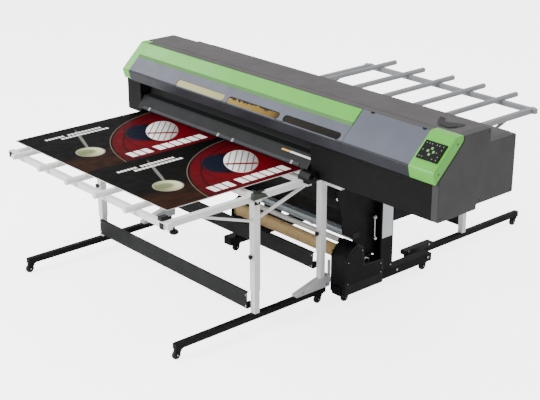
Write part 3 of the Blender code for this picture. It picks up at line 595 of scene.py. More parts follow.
green_band = rounded([on_slant(SLANT_LENGTH - 0.001, -0.0005), on_slant(SLANT_LENGTH - 0.008, PROUD),
                      on_slant(BAND_HIGH, PROUD), on_slant(BAND_HIGH, -SHEET),
                      on_slant(SLANT_LENGTH - 0.005, -SHEET)], 0.002)
bevel = rounded([on_slant(BAND_HIGH, PROUD), on_slant(BAND_LOW, 0.0005), on_slant(BAND_LOW, -SHEET),
                 on_slant(BAND_HIGH, -SHEET)], 0.0004)
UNDER_NOSE = np.array([-0.630, 1.151])
lip_line = bent([on_slant(0.012, 0), NOSE, UNDER_NOSE], 0.007)
piece("cover_green_band", [slab(green_band, *COVER_X, 0.001, ALONG_X)], "cover", GREEN)
# The bevel's darker green is painted shade.
piece("cover_band_bevel", [slab(bevel, *COVER_X, 0.0002, ALONG_X)], "cover", DARK_GREEN)
# The lip under the nose is painted dark slate as painted shade.
piece("cover_lip", [slab(strip(lip_line, SHEET), *COVER_X, 0.0008, ALONG_X)], "cover", SLATE_AND_LIP_SHADE)

# %% [markdown]
# The cover's left end turns round the corner as a thick green band, hollow behind. The window is
# one long sheet behind the three openings.

# %% The cover's end band and window
BAND_INNER = [(-0.6115, 1.1720), (-0.4395, 1.3380), (-0.4085, 1.3735)]


def end_band(lift):
    """The section of the band that goes down an end, lifted off the slant."""
    top = on_slant(SLANT_LENGTH, lift)
    return [top, on_slant(-lift / 2, lift), (UNDER_NOSE[0] - lift, UNDER_NOSE[1] - lift / 2),
            *BAND_INNER, (BAND_INNER[-1][0], top[1])]


BAND_RADII = [0.012, 0.016, 0.013, 0.012, 0.012, 0.012, 0.012]
band = rounded(end_band(0.0), BAND_RADII)
piece("cover_end_band", [hollow_cap(band, 0.003, -1.5245, -1.4455, 0.006, ALONG_X)], "cover", GREEN)
pane = rectangle((-0.910, 0.753), (0.007, 0.0735), 0.004)
# The pane carries painted reflections and a painted shadow, not a dyed tint.
piece("cover_window_pane", [slab(pane, -0.0060, -0.0043, 0.0005, SLANT)], "cover",
      window_painted_light((-0.895, 0.738)), ["cover_window"])

# %% [markdown]
# ## The right front: grey panel and control housing
#
# The panel to the right of the cover is fixed. Its seam to the cover is a narrow dark gap, and two
# small black stops stand on its top edge. The housing of the controls is moulded in green and
# stands 8 mm proud, with a rounded rim. The pad is black, with four arrow keys that really sink
# and a ring of small plain ones that don't.

# %% Right panel and housing
panel_line = bent([on_slant(SLANT_LENGTH, 0), on_slant(0.010, 0)], 0.001)
panel_x = (0.772, 1.322)
piece("right_panel", [slab(strip(panel_line, SHEET), *panel_x, 0.0012, ALONG_X)], "printer", GREY,
      ["right_front_panel"])
# The panel's lip under the nose carries the same painted shade.
piece("right_panel_lip", [slab(strip(lip_line, SHEET), *panel_x, 0.0008, ALONG_X)], "printer",
      SLATE_AND_LIP_SHADE)
seam = rectangle((0.766, 0.7725), (0.002, SLANT_LENGTH - 0.002), 0.0008)
piece("cover_seam", [slab(seam, -0.0075, -0.0050, 0.0004, SLANT)], "printer", BLACK_PLASTIC)
stops = [slab(rectangle((x - 0.013, x + 0.013), (SLANT_LENGTH - 0.010, SLANT_LENGTH + 0.001), 0.003),
              0.0, 0.006, 0.002, SLANT) for x in (0.858, 1.277)]
piece("panel_stops", stops, "printer", BLACK_PLASTIC)

housing = rounded(end_band(0.008), BAND_RADII)
piece("housing_shell", [slab(housing, 1.3232, 1.525, 0.008, ALONG_X, 4)], "printer", GREEN,
      ["control_housing"])


def along_slant(x, along, out):
    """A placing matrix whose w comes straight out of the slanted front."""
    y, z = on_slant(along, out)
    return at(SLANT, x, y, z)


def out_right(x, y, z):
    """A placing matrix whose w points to +X, for what sits on a right-hand face."""
    return at(ALONG_X, x, y, z)


side_plugs = [bolt(out_right(1.5250, *on_slant(s, -0.030)), 0.0062, 0.0022) for s in (0.020, 0.232)]
piece("housing_plugs", side_plugs, "printer", DARK_GREEN)

# %% [markdown]
# The pad's rim and its small keys. The four arrow keys are raised domes with a pale skin, and each
# carries a small moulded wedge that points its way.

# %% Keys
PAD_X, PAD_S, PAD_TOP = (1.345, 1.505), (0.062, 0.186), 0.0143
rim = rounded(rectangle(PAD_X, PAD_S), 0.004)
piece("pad_rim", [hollow_tube(rim, 0.0025, PAD_TOP - 0.0055, PAD_TOP + 0.0012, SLANT)], "printer",
      BLACK_PLASTIC)
KEY_X, KEY_S, KEY_PITCH, KEY_HALF = 1.420, 0.122, 0.021, 0.0083
ARROWS = {"key_up": (0, 1), "key_down": (0, -1), "key_left": (-1, 0), "key_right": (1, 0)}
for key, (du, dv) in ARROWS.items():
    u, v = KEY_X + du * KEY_PITCH, KEY_S + dv * KEY_PITCH
    cap = slab(rectangle((u - KEY_HALF, u + KEY_HALF), (v - KEY_HALF, v + KEY_HALF), 0.003),
               0.0103, 0.0163, 0.0015, SLANT)
    tip, side = np.array([du, dv]) * 0.0045, np.array([-dv, du]) * 0.0040
    wedge = np.array([u, v]) + np.array([tip, side - tip * 0.6, -side - tip * 0.6])
    raised = slab(rounded(wedge, 0.001), 0.0160, 0.0169, 0.0003, SLANT)
    piece(key + "_cap", [cap, raised], key, KEY_GREEN, [key])

around = [(1.362, 0.170), (1.382, 0.170), (1.402, 0.170), (1.438, 0.170), (1.458, 0.170),
          (1.362, 0.078), (1.382, 0.078), (1.458, 0.078), (1.486, 0.078), (1.486, 0.100),
          (1.486, 0.146), (1.486, 0.170), (1.362, 0.122), (1.464, 0.122)]
dome = [(0.0042, 0), (0.0045, 0.0008), (0.0040, 0.0017), (0.0024, 0.0023), (0.0006, 0.0025)]
piece("pad_round_keys", [turned(dome, along_slant(x, s, PAD_TOP), 16) for x, s in around], "printer",
      KEY_PALE)
middle = [(0.0070, 0), (0.0070, 0.0012), (0.0058, 0.0020), (0.0006, 0.0021)]
piece("pad_centre", [turned(middle, along_slant(KEY_X, KEY_S, PAD_TOP), 20)], "printer",
      BLACK_PLASTIC)

# %% [markdown]
# ## Roof, ends and back
#
# The roof is folded: flat on top, then down a step at the back. Near the right end a black V shape
# stands on it as painted shade for the inside of a recessed grip. Each end is a moulded cap with an
# eased rim. The left cap is hollow, because the carriage runs into it. The back wall has louvres,
# screws and the mains inlet.

# %% Roof and grip
STEP_Y, STEP_Z, TOP_Z, REAR_Y = -0.165, 1.313, 1.400, 0.076
roof_line = bent([(-0.4035, TOP_Z), (STEP_Y, TOP_Z), (STEP_Y + 0.0005, STEP_Z), (REAR_Y - 0.0005, STEP_Z)],
                 0.006)
brow_line = [(-0.4625, TOP_Z), (-0.400, TOP_Z)]
roof = [slab(strip(line, -0.003), *x, 0.0008, ALONG_X)
        for line, x in ((roof_line, (-1.364, 1.474)), (brow_line, (-1.4435, 1.3215)))]
piece("roof", roof, "printer", ROOF, ["top_cover"])

grip = rounded([(1.185, -0.225), (1.232, -0.236), (1.272, -0.284), (1.328, -0.266), (1.386, -0.236),
                (1.402, -0.258), (1.394, -0.340), (1.368, -0.374), (1.290, -0.372), (1.258, -0.340),
                (1.212, -0.276)], 0.008)
hook = rounded([(1.292, -0.362), (1.368, -0.364), (1.384, -0.332), (1.380, -0.300), (1.300, -0.318)], 0.009)
# This raised black shape is painted shade for the inside of a recessed grip.
piece("roof_grip_shade", [slab(grip, TOP_Z - 0.002, TOP_Z + 0.0030, 0.002),
                    slab(hook, TOP_Z - 0.002, TOP_Z + 0.0052, 0.002)], "printer", BLACK_PLASTIC)

# %% End caps
SIDE = [(-0.609, 1.1695), (-0.437, 1.3350), (-0.405, 1.3720), (-0.405, 1.400), (STEP_Y, TOP_Z),
        (STEP_Y, STEP_Z), (REAR_Y, STEP_Z), (REAR_Y, 0.942), (-0.263, 0.942), (-0.263, 0.911),
        (-0.609, 0.911)]
SIDE_RADII = [0.009, 0.009, 0.009, 0.009, 0.010, 0.010, 0.010, 0.010, 0.009, 0.009, 0.014]
side = rounded(SIDE, SIDE_RADII)
TO_LEFT = ALONG_X * np.array([[1, 1, -1, 1], [1, 1, 1, 1], [1, 1, 1, 1]])


def turned_over(part):
    """The same points with every face reversed, for a part placed by a mirroring matrix."""
    points, faces = part
    return points, [face[::-1] for face in faces]


left_cap = hollow_cap(side, SHEET, -1.525, -1.365, 0.006, ALONG_X)
right_cap = turned_over(hollow_cap(side, SHEET, -1.525, -1.475, 0.006, TO_LEFT))
piece("left_end_cap", [left_cap], "printer", ROOF, ["left_side_cover"])
left_front = slab(rectangle((0.918, 1.158), (-1.519, -1.366), 0.006), -0.6098, -0.6080, 0.0006, ALONG_Y)
piece("left_front_plate", [left_front], "printer", BLACK)
piece("right_end_cap", [right_cap], "printer", CHARCOAL, ["right_side_cover"])
screw_yz = [(0.055, 1.290), (0.055, 0.965), (-0.240, 0.965), (-0.585, 0.935), (-0.185, 1.380)]
side_screws = [bolt(out_right(1.5245, y, z), 0.0048, 0.0018) for y, z in screw_yz]
piece("end_cap_screws", side_screws, "printer", BLACK_PLASTIC)

# %% [markdown]
# The back wall stops above the slot where the board leaves. Pressed louvres let the fans' air
# out. The mains inlet is a shrouded socket with three pins and a rocker switch beside it.

# %% Back wall
WALL_Y = (0.0700, 0.0730)
wall = rounded([(0.947, 0.501), (0.947, 1.4735), (1.3095, 1.4735), (1.3095, -1.3635),
                (0.983, -1.3635), (0.983, 0.501)], 0.004)
hem = block((-1.3635, 1.4735), (0.0565, 0.0725), (0.9825, 0.9875), 0.001)
piece("back_wall", [slab(wall, *WALL_Y, 0.0008, ALONG_Y), hem], "printer", CHARCOAL,
      ["rear_cover"])
louvre = [(0.0722, 0.000), (0.0722, 0.0125), (0.0760, 0.0015)]
louvres = [slab(rounded([(y, z + lift) for y, lift in louvre], 0.0008), x, x + 0.150, 0.0004, ALONG_X)
           for x in (-1.10, -0.85, 0.62, 0.87) for z in np.arange(1.130, 1.262, 0.022)]
piece("back_louvres", louvres, "printer", CHARCOAL)
out_back = [bolt(at(ALONG_Y, x, WALL_Y[1] - 0.0003, z), 0.005, 0.002)
            for x in np.linspace(-1.33, 1.44, 8) for z in (1.008, 1.292)]
piece("back_screws", out_back, "printer", STEEL)
socket = [hollow_tube(rectangle((1.012, 1.040), (1.352, 1.392), 0.005), 0.003, 0.0725, 0.0790, ALONG_Y),
          slab(rectangle((1.006, 1.046), (1.310, 1.398), 0.003), 0.0725, 0.0745, 0.0006, ALONG_Y),
          slab(rectangle((1.014, 1.038), (1.318, 1.338), 0.002), 0.0740, 0.0770, 0.0008, ALONG_Y)]
piece("mains_inlet", socket, "printer", BLACK_PLASTIC)
pins = [block((x - 0.0012, x + 0.0012), (0.0740, 0.0785), (1.023, 1.029), 0.0004)
        for x in (1.363, 1.372, 1.381)]
piece("inlet_pins", pins, "printer", STEEL)

# %% [markdown]
# ## The slot and the panels round it
#
# Below the nose the machine is black. A sloped guard with a rolled lip hangs over the board where
# it goes in, and an upright flange behind it closes the view to the carriage. On the guard sit
# four bright clips that hold the board's edges, a clamp strip, and a short pale scale. To the
# right is a black lower front with one long groove.

# %% Guard and lower front
SLOT_X = (-1.3615, 0.4594)
guard_line = bent([(-0.6335, 0.9612), (-0.6400, 0.9612), (-0.5750, 1.0450), (-0.5210, 1.0515),
                   (-0.5180, 1.1500)], 0.005)
piece("slot_guard", [slab(strip(guard_line, -0.0025), *SLOT_X, 0.0008, ALONG_X)], "printer", PANEL_GREY,
      ["front_guard"])


def guard_point(share, out):
    """(Y, Z) of a point on the guard's slope, a share of the way up it and a little off it."""
    low, high = np.array([-0.6400, 0.9612]), np.array([-0.5750, 1.0450])
    along = (high - low) / np.linalg.norm(high - low)
    return tuple(low + share * (high - low) + out * np.array([-along[1], along[0]]))


def on_guard(low, high, out_low, out_high):
    """A strip's outline lying on the guard's slope."""
    return [guard_point(low, out_low), guard_point(high, out_low), guard_point(high, out_high),
            guard_point(low, out_high)]


clamp = rounded(on_guard(0.06, 0.24, -0.0005, 0.0042), 0.001)
piece("clamp_strip", [slab(clamp, -1.300, 0.380, 0.001, ALONG_X)], "printer", SLATE_AND_LIP_SHADE)
clips = [slab(rounded(on_guard(0.02, 0.26, 0.003, 0.0070), 0.0015), x, x + 0.022, 0.001, ALONG_X)
         for x in (-1.232, -0.444, -0.290, 0.300)]
piece("board_clips", clips, "printer", CLIP_GREY)
pale_strip = rounded(on_guard(0.66, 0.78, -0.0005, 0.0025), 0.0012)
piece("guide_scale", [slab(pale_strip, 0.255, 0.452, 0.0006, ALONG_X)], "printer", WHITE)
piece("guide_scale_start", [slab(pale_strip, 0.175, 0.2545, 0.0006, ALONG_X)], "printer", BRASS)

lower_outline = [(-0.609, 0.9162), (-0.609, 1.1130), (-0.6070, 1.1155), (-0.6070, 1.1215),
                 (-0.609, 1.1240), (-0.609, 1.1488), (-0.6052, 1.1488), (-0.6052, 0.9162)]
lower_front = [slab(lower_outline, 0.4602, 1.4738, 0.0004, ALONG_X),
               block((0.4608, 0.4640), (-0.606, -0.510), (0.9477, 1.1480), 0.001)]
piece("lower_front", lower_front, "printer", BLACK, ["lower_front_panel"])

# %% [markdown]
# ## The board and what is printed on it
#
# A 6 mm board lies over both tables, already printed as two equal posters side by side. Each
# poster is drawn by its own measures: r runs in the reading direction from the board's front edge,
# and t runs across it from the poster's lower edge. Discs, ellipses and bars are distances that
# are compared with a radius. The design is generic: a bowl, a striped ball, a red ground behind a
# large arc, and plain bars where a real poster has lettering.

# %% The poster's finish
POSTER_WIDTH, BOARD_FRONT, BOARD_TOP = 0.852, -1.691, 0.9448


class Poster:
    """Builds the print from masks, every one a number between 0 and 1 made in the shader."""

    def __init__(self):
        self.material, self.tree, self.shader = new_finish("poster_print", IOR=1.5,
                                                           Specular_IOR_Level=0.03)
        where = add(self.tree, "TexCoord").outputs["Object"]
        axes = add(self.tree, "SeparateXYZ", {0: where}).outputs
        self.height = axes[2]
        self.r = self.calc("SUBTRACT", axes[1], BOARD_FRONT)
        from_edge = self.calc("SUBTRACT", 0.390, axes[0])
        self.t = self.calc("MODULO", from_edge, POSTER_WIDTH)
        self.colour = None

    def calc(self, operation, first, second=0.0, third=0.0):
        return add(self.tree, "Math", {0: first, 1: second, 2: third}, operation=operation).outputs[0]

    def below(self, value, limit, soft=0.004):
        """1 where value is under limit, fading out over a few millimetres."""
        return between_values(self.tree, value, 1.0, 0.0, limit - soft, limit)

    def oval(self, centre, half, lean=0.0):
        """Distance from centre in units of the half axes, after turning by lean radians."""
        c, s = math.cos(lean), math.sin(lean)
        dr, dt = self.calc("SUBTRACT", self.r, centre[0]), self.calc("SUBTRACT", self.t, centre[1])
        u = self.calc("MULTIPLY_ADD", dr, c / half[0], self.calc("MULTIPLY", dt, s / half[0]))
        v = self.calc("MULTIPLY_ADD", dr, -s / half[1], self.calc("MULTIPLY", dt, c / half[1]))
        square = self.calc("MULTIPLY_ADD", u, u, self.calc("MULTIPLY", v, v))
        return self.calc("SQRT", square), u, v

    def inside(self, value, low, high, soft=0.003):
        """1 between two limits."""
        return self.calc("MULTIPLY", self.below(value, high, soft),
                         self.below(self.calc("MULTIPLY", value, -1.0), -low, soft))

    def paint(self, mask, code):
        """Lays a colour, or another socket's colour, over what is there."""
        over = linear(code) if isinstance(code, str) else code
        self.colour = over if self.colour is None else blend_colours(self.tree, mask, self.colour, over)


def poster_finish():
    """Lays the poster's grounds, shapes and bars over one another, from the back to the front."""
    p = Poster()
    p.paint(1.0, "#060505")
    wood = add(p.tree, "CombineXYZ", {0: p.calc("MULTIPLY", p.r, 3.0), 1: p.calc("MULTIPLY", p.t, 26.0)})
    grain = add(p.tree, "TexNoise", {"Vector": wood.outputs[0], "Scale": 1.6, "Detail": 5.0}).outputs[0]
    planks = blend_colours(p.tree, between_values(p.tree, grain, 0.0, 1.0), linear("#0e0603"),
                           linear("#32190a"))
    ground = p.calc("MULTIPLY", p.below(p.t, 0.34, 0.16), p.below(p.r, 0.60, 0.2))
    p.paint(ground, planks)
    p.paint(p.below(p.oval((0.135, 0.355), (0.135, 0.075), 0.2)[0], 1.0, 0.5), "#050303")
    arc, _, _ = p.oval((1.192, -0.096), (0.870, 0.870))
    p.paint(p.inside(arc, 1.010, 1.020, 0.004), "#6d6354")
    glow = p.oval((0.80, 0.30), (0.62, 0.52), 0.5)[0]
    red = blend_colours(p.tree, between_values(p.tree, glow, 0.0, 1.0, 0.25, 1.2), linear("#5c040f"),
                        linear("#220206"))
    p.paint(p.below(arc, 1.0), red)
    p.paint(p.inside(arc, 0.90, 0.925, 0.012), "#260408")
    ring = p.oval((0.900, 0.350), (0.42, 0.30), 0.93)[0]
    p.paint(p.inside(ring, 0.96, 1.00, 0.02), "#2a0509")
    p.paint(p.below(p.oval((0.800, 0.400), (0.225, 0.150), 0.93)[0], 1.0, 0.25), "#070609")
    p.paint(p.below(p.oval((0.735, 0.440), (0.200, 0.120), 0.93)[0], 1.0, 0.3), "#0d1120")
    ball, along, across = p.oval((0.880, 0.373), (0.222, 0.114), 0.93)
    shade = blend_colours(p.tree, between_values(p.tree, across, 0.0, 1.0, -0.9, 0.8),
                          linear("#8e8b88"), linear("#f3f1ee"))
    p.paint(p.below(ball, 1.0, 0.03), shade)
    lines = p.calc("PINGPONG", p.calc("MULTIPLY_ADD", across, 0.9, p.calc("MULTIPLY", along, 0.25)), 0.16)
    thin = p.calc("MULTIPLY", p.below(lines, 0.045, 0.02), p.below(ball, 0.97, 0.03))
    p.paint(p.calc("MULTIPLY", thin, 0.85), "#45404a")
    bar = p.inside(along, -0.30, -0.14, 0.02)
    p.paint(p.calc("MULTIPLY", bar, p.below(ball, 0.97, 0.03)), "#6a1a22")
    handle = p.oval((0.345, 0.560), (0.265, 0.013), 1.20)[0]
    p.paint(p.below(handle, 1.0, 0.25), "#6b6a64")
    bowl, u, v = p.oval((0.251, 0.321), (0.100, 0.100))
    cream = blend_colours(p.tree, between_values(p.tree, u, 0.0, 1.0, -0.9, 0.9), linear("#4f5a38"),
                          linear("#d3d5a6"))
    p.paint(p.below(bowl, 1.0, 0.03), "#8d8a7d")
    p.paint(p.below(bowl, 0.90, 0.03), cream)
    hollow = p.oval((0.240, 0.330), (0.062, 0.055))[0]
    p.paint(p.calc("MULTIPLY", p.below(hollow, 1.0, 0.35), 0.75), "#5b6446")
    for low, high, start, stop, pitch, share in WORDS:
        dash = p.below(p.calc("FRACT", p.calc("DIVIDE", p.calc("SUBTRACT", p.r, start), pitch)), share, 0.04)
        row = p.calc("MULTIPLY", p.inside(p.t, low, high), p.inside(p.r, start, stop))
        p.paint(p.calc("MULTIPLY", dash, row), "#f4f1ee")
    top = p.calc("GREATER_THAN", p.height, BOARD_TOP - 0.0004)
    final = blend_colours(p.tree, top, linear("#cfcdc8"), p.colour)
    p.tree.links.new(final, p.shader.inputs["Base Color"])
    dust = between_values(p.tree, cloud(p.tree, 60.0, 4.0), 0.45, 0.58)
    p.tree.links.new(dust, p.shader.inputs["Roughness"])
    return p.material


# Plain bars in place of lettering: t from and to, r from and to, their pitch and how much is inked
WORDS = [(0.045, 0.140, 0.400, 0.580, 0.062, 0.80), (0.045, 0.140, 0.620, 1.040, 0.070, 0.82),
         (0.705, 0.735, 0.150, 0.300, 0.026, 0.75), (0.660, 0.690, 0.250, 0.640, 0.030, 0.78),
         (0.705, 0.735, 0.330, 0.600, 0.028, 0.75)]
board = slab(rectangle((-1.314, 0.390), (-1.691, -0.150), 0.002), 0.9388, BOARD_TOP, 0.0003)
piece("poster_board", [board], "board", poster_finish(), ["printed_board"])

# %% [markdown]
# ## The two tables
#
# Both tables are one design, the rear one turned round. Two black floor beams carry square posts;
# white sleeves slide on them and hold up the rails, the cross bars and five round rods that the
# board rolls out over. Graphite panels tie the posts together near the floor. The front table is
# written out, and the rear one is its mirror image about one plane of constant Y. It has no posts
# next to the printer, because its deck hangs on the machine there.

# %% Stands
TABLE_X, MIRROR_Y = (-1.224, 0.464), -0.0765
POST_YS, SLEEVE_LOWS, PANEL_LOWS = (-1.078, -0.508), (0.262, 0.362), (0.135, 0.243)
TALL_FOOT = [(-0.742, 0.107), (-0.742, 0.124), (-0.540, 0.176), (-0.445, 0.190), (-0.445, 0.107)]
LOW_FOOT = [(-0.742, 0.107), (-0.742, 0.132), (-0.720, 0.140), (-0.445, 0.140), (-0.445, 0.107)]


def square_tube(x, y, low, high, half, wall):
    """An upright square tube, open at both ends."""
    outline = rectangle((x - half, x + half), (y - half, y + half), wall * CORNER_SHARE)
    return hollow_tube(outline, wall, low, high)


def level_beam(x, y, z, half, cap=0.004):
    """A square beam along the feed direction, and the two plastic plugs in its ends."""
    outline = rectangle((z - half, z + half), (x - half, x + half), 0.004)
    plug = rectangle((z - half + 0.0005, z + half - 0.0005), (x - half + 0.0005, x + half - 0.0005), 0.004)
    beam = hollow_tube(outline, 0.0025, y[0] + cap, y[1] - cap, ALONG_Y)
    ends = [slab(plug, y[0], y[0] + cap, 0.002, ALONG_Y), slab(plug, y[1] - cap, y[1], 0.002, ALONG_Y)]
    return beam, ends


def out_front(x, y, z):
    """A placing matrix whose w points to -Y."""
    return np.array([[1, 0, 0, x], [0, 0, -1, y], [0, 1, 0, z]], float)


def stand_parts(posts, foot):
    """A stand in the front one's place, sorted by finish. posts are the rows of posts it has."""
    black, white, graphite, steel, pale = [], [], [], [], []
    for x, inward in zip(TABLE_X, (1.0, -1.0)):
        beam, ends = level_beam(x, (-1.722, -0.475), 0.088, 0.020)
        black += [beam, *ends]
        wedge = rounded(foot, 0.004)
        (pale if len(posts) > 1 else graphite).append(slab(wedge, x - 0.025, x + 0.025, 0.002, ALONG_X))
        steel += [bolt(at(ALONG_X, x + 0.0248, y, 0.128), 0.0075, 0.005) for y in (-0.690, -0.480)]
        white += [square_tube(x, y, 0.107, 0.700, 0.0215, 0.004) for y in posts]
        for y, low in zip(posts, PANEL_LOWS):
            tab = sorted((x + inward * 0.022, x + inward * 0.044))
            graphite.append(block(tab, (y - 0.030, y - 0.010), (low + 0.004, low + 0.044)))
            steel += [bolt(out_front(x + inward * 0.036, y - 0.0467, low + dz), 0.006, 0.004)
                      for dz in (0.020, 0.095)]
    for y, low in zip(posts, PANEL_LOWS):
        folded = bent([(y - 0.0275, low), (y - 0.047, low), (y - 0.047, low + 0.115),
                       (y - 0.0275, low + 0.115)], 0.006)
        span = (TABLE_X[0] + 0.0255, TABLE_X[1] - 0.0255)
        graphite.append(slab(strip(folded, -0.003), *span, 0.0008, ALONG_X))
    return {"beams": (black, BLACK, "black_steel"), "posts": (white, WHITE, "white"),
            "panels": (graphite, PANEL_GREY, "black_steel"), "bolts": (steel, STEEL, "steel"),
            "feet": (pale, FOOT_GREY, "white")}


def other_way(parts, mirrored):
    """The parts as they are, or their mirror images for the rear table."""
    return [mirrored_y(part, MIRROR_Y) for part in parts] if mirrored else parts


for table, mirrored, posts, foot in (("front", False, POST_YS, TALL_FOOT),
                                     ("rear", True, POST_YS[:1], LOW_FOOT)):
    for kind, (parts, paint, slot_name) in stand_parts(posts, foot).items():
        if not parts:
            continue
        stands_for = [f"{table}_base"] if kind == "beams" else []
        piece(f"{table}_stand_{kind}", other_way(parts, mirrored), f"{table}_table", paint,
              stands_for)

# %% [markdown]
# The deck that lifts: sleeves with a screw knob each, two rails, three cross bars, the long
# docking bar next to the printer, slanting braces and five rods with plugged ends. A small black
# plate sits at the head of each outer sleeve.

# %% Decks
ROD_XS = -1.100 + 0.319 * np.arange(5)


def knob(place):
    """A lobed knob on a short stem: the radius swells six times round."""
    a = np.arange(36) * math.pi / 18
    lobes = (1 + 0.10 * np.cos(6 * a))[:, None] * np.column_stack([np.cos(a), np.sin(a)])
    levels = [(0.004, 0.0), (0.004, 0.010), (0.013, 0.0105), (0.0155, 0.014), (0.0155, 0.021), (0.012, 0.024)]
    return loft(stack([r * lobes for r, _ in levels], [w for _, w in levels]), place)


def cross_beam(x, y, z, half=0.019):
    """A square tube along X with plugged ends."""
    outline = rectangle((y - half, y + half), (z - half, z + half), 0.003)
    return slab(outline, *x, 0.002, ALONG_X, 2)


def sleeves_and_braces(posts):
    """What is alike on both decks: sleeves, braces and the docking bar."""
    white = []
    for x in TABLE_X:
        for y, low in zip(posts, SLEEVE_LOWS):
            white.append(square_tube(x, y, low, 0.875, 0.024, 0.002))
        for start, end in (((-1.1050, 0.7395), (-1.520, 0.878)), ((-1.0510, 0.7480), (-0.604, 0.882))):
            place = between((x, *start), (x, *end))
            length = math.dist(start, end)
            white.append(slab(rectangle((-0.011, 0.011), (-0.007, 0.007), 0.003), 0, length, 0.002, place))
    white.append(slab(rounded([(-0.520, 0.847), (-0.520, 0.888), (-0.479, 0.888), (-0.479, 0.847)], 0.003),
                      -1.410, 0.650, 0.002, ALONG_X))
    return white


def deck_hardware(posts):
    """Brackets at the sleeves' heads, knobs and the screws of the docking bar."""
    black, steel = [], []
    for x, outward in zip(TABLE_X, (-1.0, 1.0)):
        turn = ALONG_X if outward > 0 else np.array([[0, 0, -1, 0], [-1, 0, 0, 0], [0, 1, 0, 0]], float)
        for y in posts:
            plate = rectangle((y - 0.024, y + 0.024), (0.848, 0.874), 0.004)
            side_x = sorted((x + outward * 0.0238, x + outward * 0.0300))
            if y == POST_YS[0]:
                black.append(slab(plate, *side_x, 0.001, ALONG_X))
            black.append(knob(out_front(x, y - 0.0235, 0.500)))
            grip_x = 0.0298 if y == POST_YS[0] else 0.0238
            steel.append(bolt(at(turn, x + outward * grip_x, y, 0.861), 0.0055, 0.0035))
    return black, steel


def deck_frame(rail_y, bar_ys):
    """Rails and cross bars, and the black plugs in the ends of the rails."""
    frame_parts, plugs = [], []
    for x in TABLE_X:
        rail, ends = level_beam(x, rail_y, 0.891, 0.020)
        frame_parts.append(rail)
        plugs += ends
    frame_parts += [cross_beam((TABLE_X[0] - 0.045, TABLE_X[1] + 0.045), y, 0.891) for y in bar_ys]
    return frame_parts, plugs


ROD_Z, ROD_RADIUS, PLUG_RADIUS, ROD_SIDES = 0.9183, 0.0203, 0.0180, 20


def rods(rod_y):
    """Five round bars along the feed, and a plug a little thinner than the bar in each end."""
    bars = [round_bar((x, rod_y[0] + 0.004, ROD_Z), (x, rod_y[1] - 0.004, ROD_Z), ROD_RADIUS, ROD_SIDES)
            for x in ROD_XS]
    plugs = [round_bar((x, y, ROD_Z), (x, y + 0.005, ROD_Z), PLUG_RADIUS, ROD_SIDES)
             for x in ROD_XS for y in (rod_y[0], rod_y[1] - 0.005)]
    return bars + plugs


# The rear deck is painted mid grey, darker than the front deck's white.
DECKS = {"front": ((-1.790, -0.480), (-1.758, -1.078, -0.660), (-1.845, -0.610), False, WHITE),
         "rear": ((0.100, 1.690), (0.160, 0.925, 1.657), (0.085, 1.845), True, PALE_GREY)}
for table, (rail_y, bar_ys, rod_y, mirrored, paint) in DECKS.items():
    frame_parts, plugs = deck_frame(rail_y, bar_ys)
    posts = POST_YS[:1] if mirrored else POST_YS
    black, steel = (other_way(parts, mirrored) for parts in deck_hardware(posts))
    white = other_way(sleeves_and_braces(posts), mirrored)
    body = f"{table}_deck"
    piece(f"{table}_deck_frame", frame_parts, body, paint, [body])
    piece(f"{table}_deck_sleeves", white, body, paint)
    piece(f"{table}_deck_plugs", plugs + black, body, BLACK_PLASTIC)
    piece(f"{table}_deck_screws", steel, body, STEEL)
    piece(f"{table}_deck_rods", rods(rod_y), body, paint)

# %% [markdown]
# The front deck also has what stops and clamps the board: a corner bracket at the front post's
# head, a stop on the front cross bar, and a wing screw under the right rail's front end. At the
# printer's side a black block on the rear post holds the table to the machine.

# %% The front deck's fittings
WING = [(0.008, 0), (0.008, 0.026), (0.022, 0.028), (0.028, 0.034), (0.028, 0.044), (0.018, 0.052),
        (0.004, 0.054)]
corner = rounded([(-1.130, 0.890), (-1.130, 0.9345), (-1.106, 0.9345), (-1.030, 0.9180), (-1.005, 0.890)],
                 0.006)
latch = rounded([(-0.692, 0.892), (-0.692, 0.930), (-0.668, 0.962), (-0.6125, 0.966), (-0.6125, 0.892)],
                0.008)
fittings = [slab(latch, 0.4300, 0.5300, 0.005, ALONG_X),
            block((0.4700, 0.5120), (-0.640, -0.500), (0.8905, 0.9150), 0.004),
            block((0.408, 0.448), (-1.775, -1.722), (0.9095, 0.9360), 0.004),
            turned(WING, np.array([[1, 0, 0, 0.464], [0, -1, 0, -1.700], [0, 0, -1, 0.872]], float))]
piece("front_deck_fittings", fittings, "front_deck", BLACK_PLASTIC)
piece("front_deck_corner", [slab(corner, 0.4860, 0.5120, 0.003, ALONG_X)], "front_deck", CORNER_GREY)
hand_screw = [knob(at(ALONG_X, 0.5295, -0.650, 0.925))]
piece("front_deck_hand_screw", hand_screw, "front_deck", BLACK_PLASTIC)
corner_pads = [block((0.487, 0.511), (-1.118, -1.030), (0.9320, 0.9375), 0.002)]
piece("front_deck_pad", corner_pads, "front_deck", PANEL_GREY)

# %% [markdown]
# ## The stand of the printer and the take-up unit
#
# Two T-shaped legs carry the body. Low between them sits the take-up unit for roll media: a
# cardboard core between flanges, a tension tube, an aluminium cross bar with grooves, and a motor
# housing astride the right leg's base. A ball-ended lever stands beside the right post.

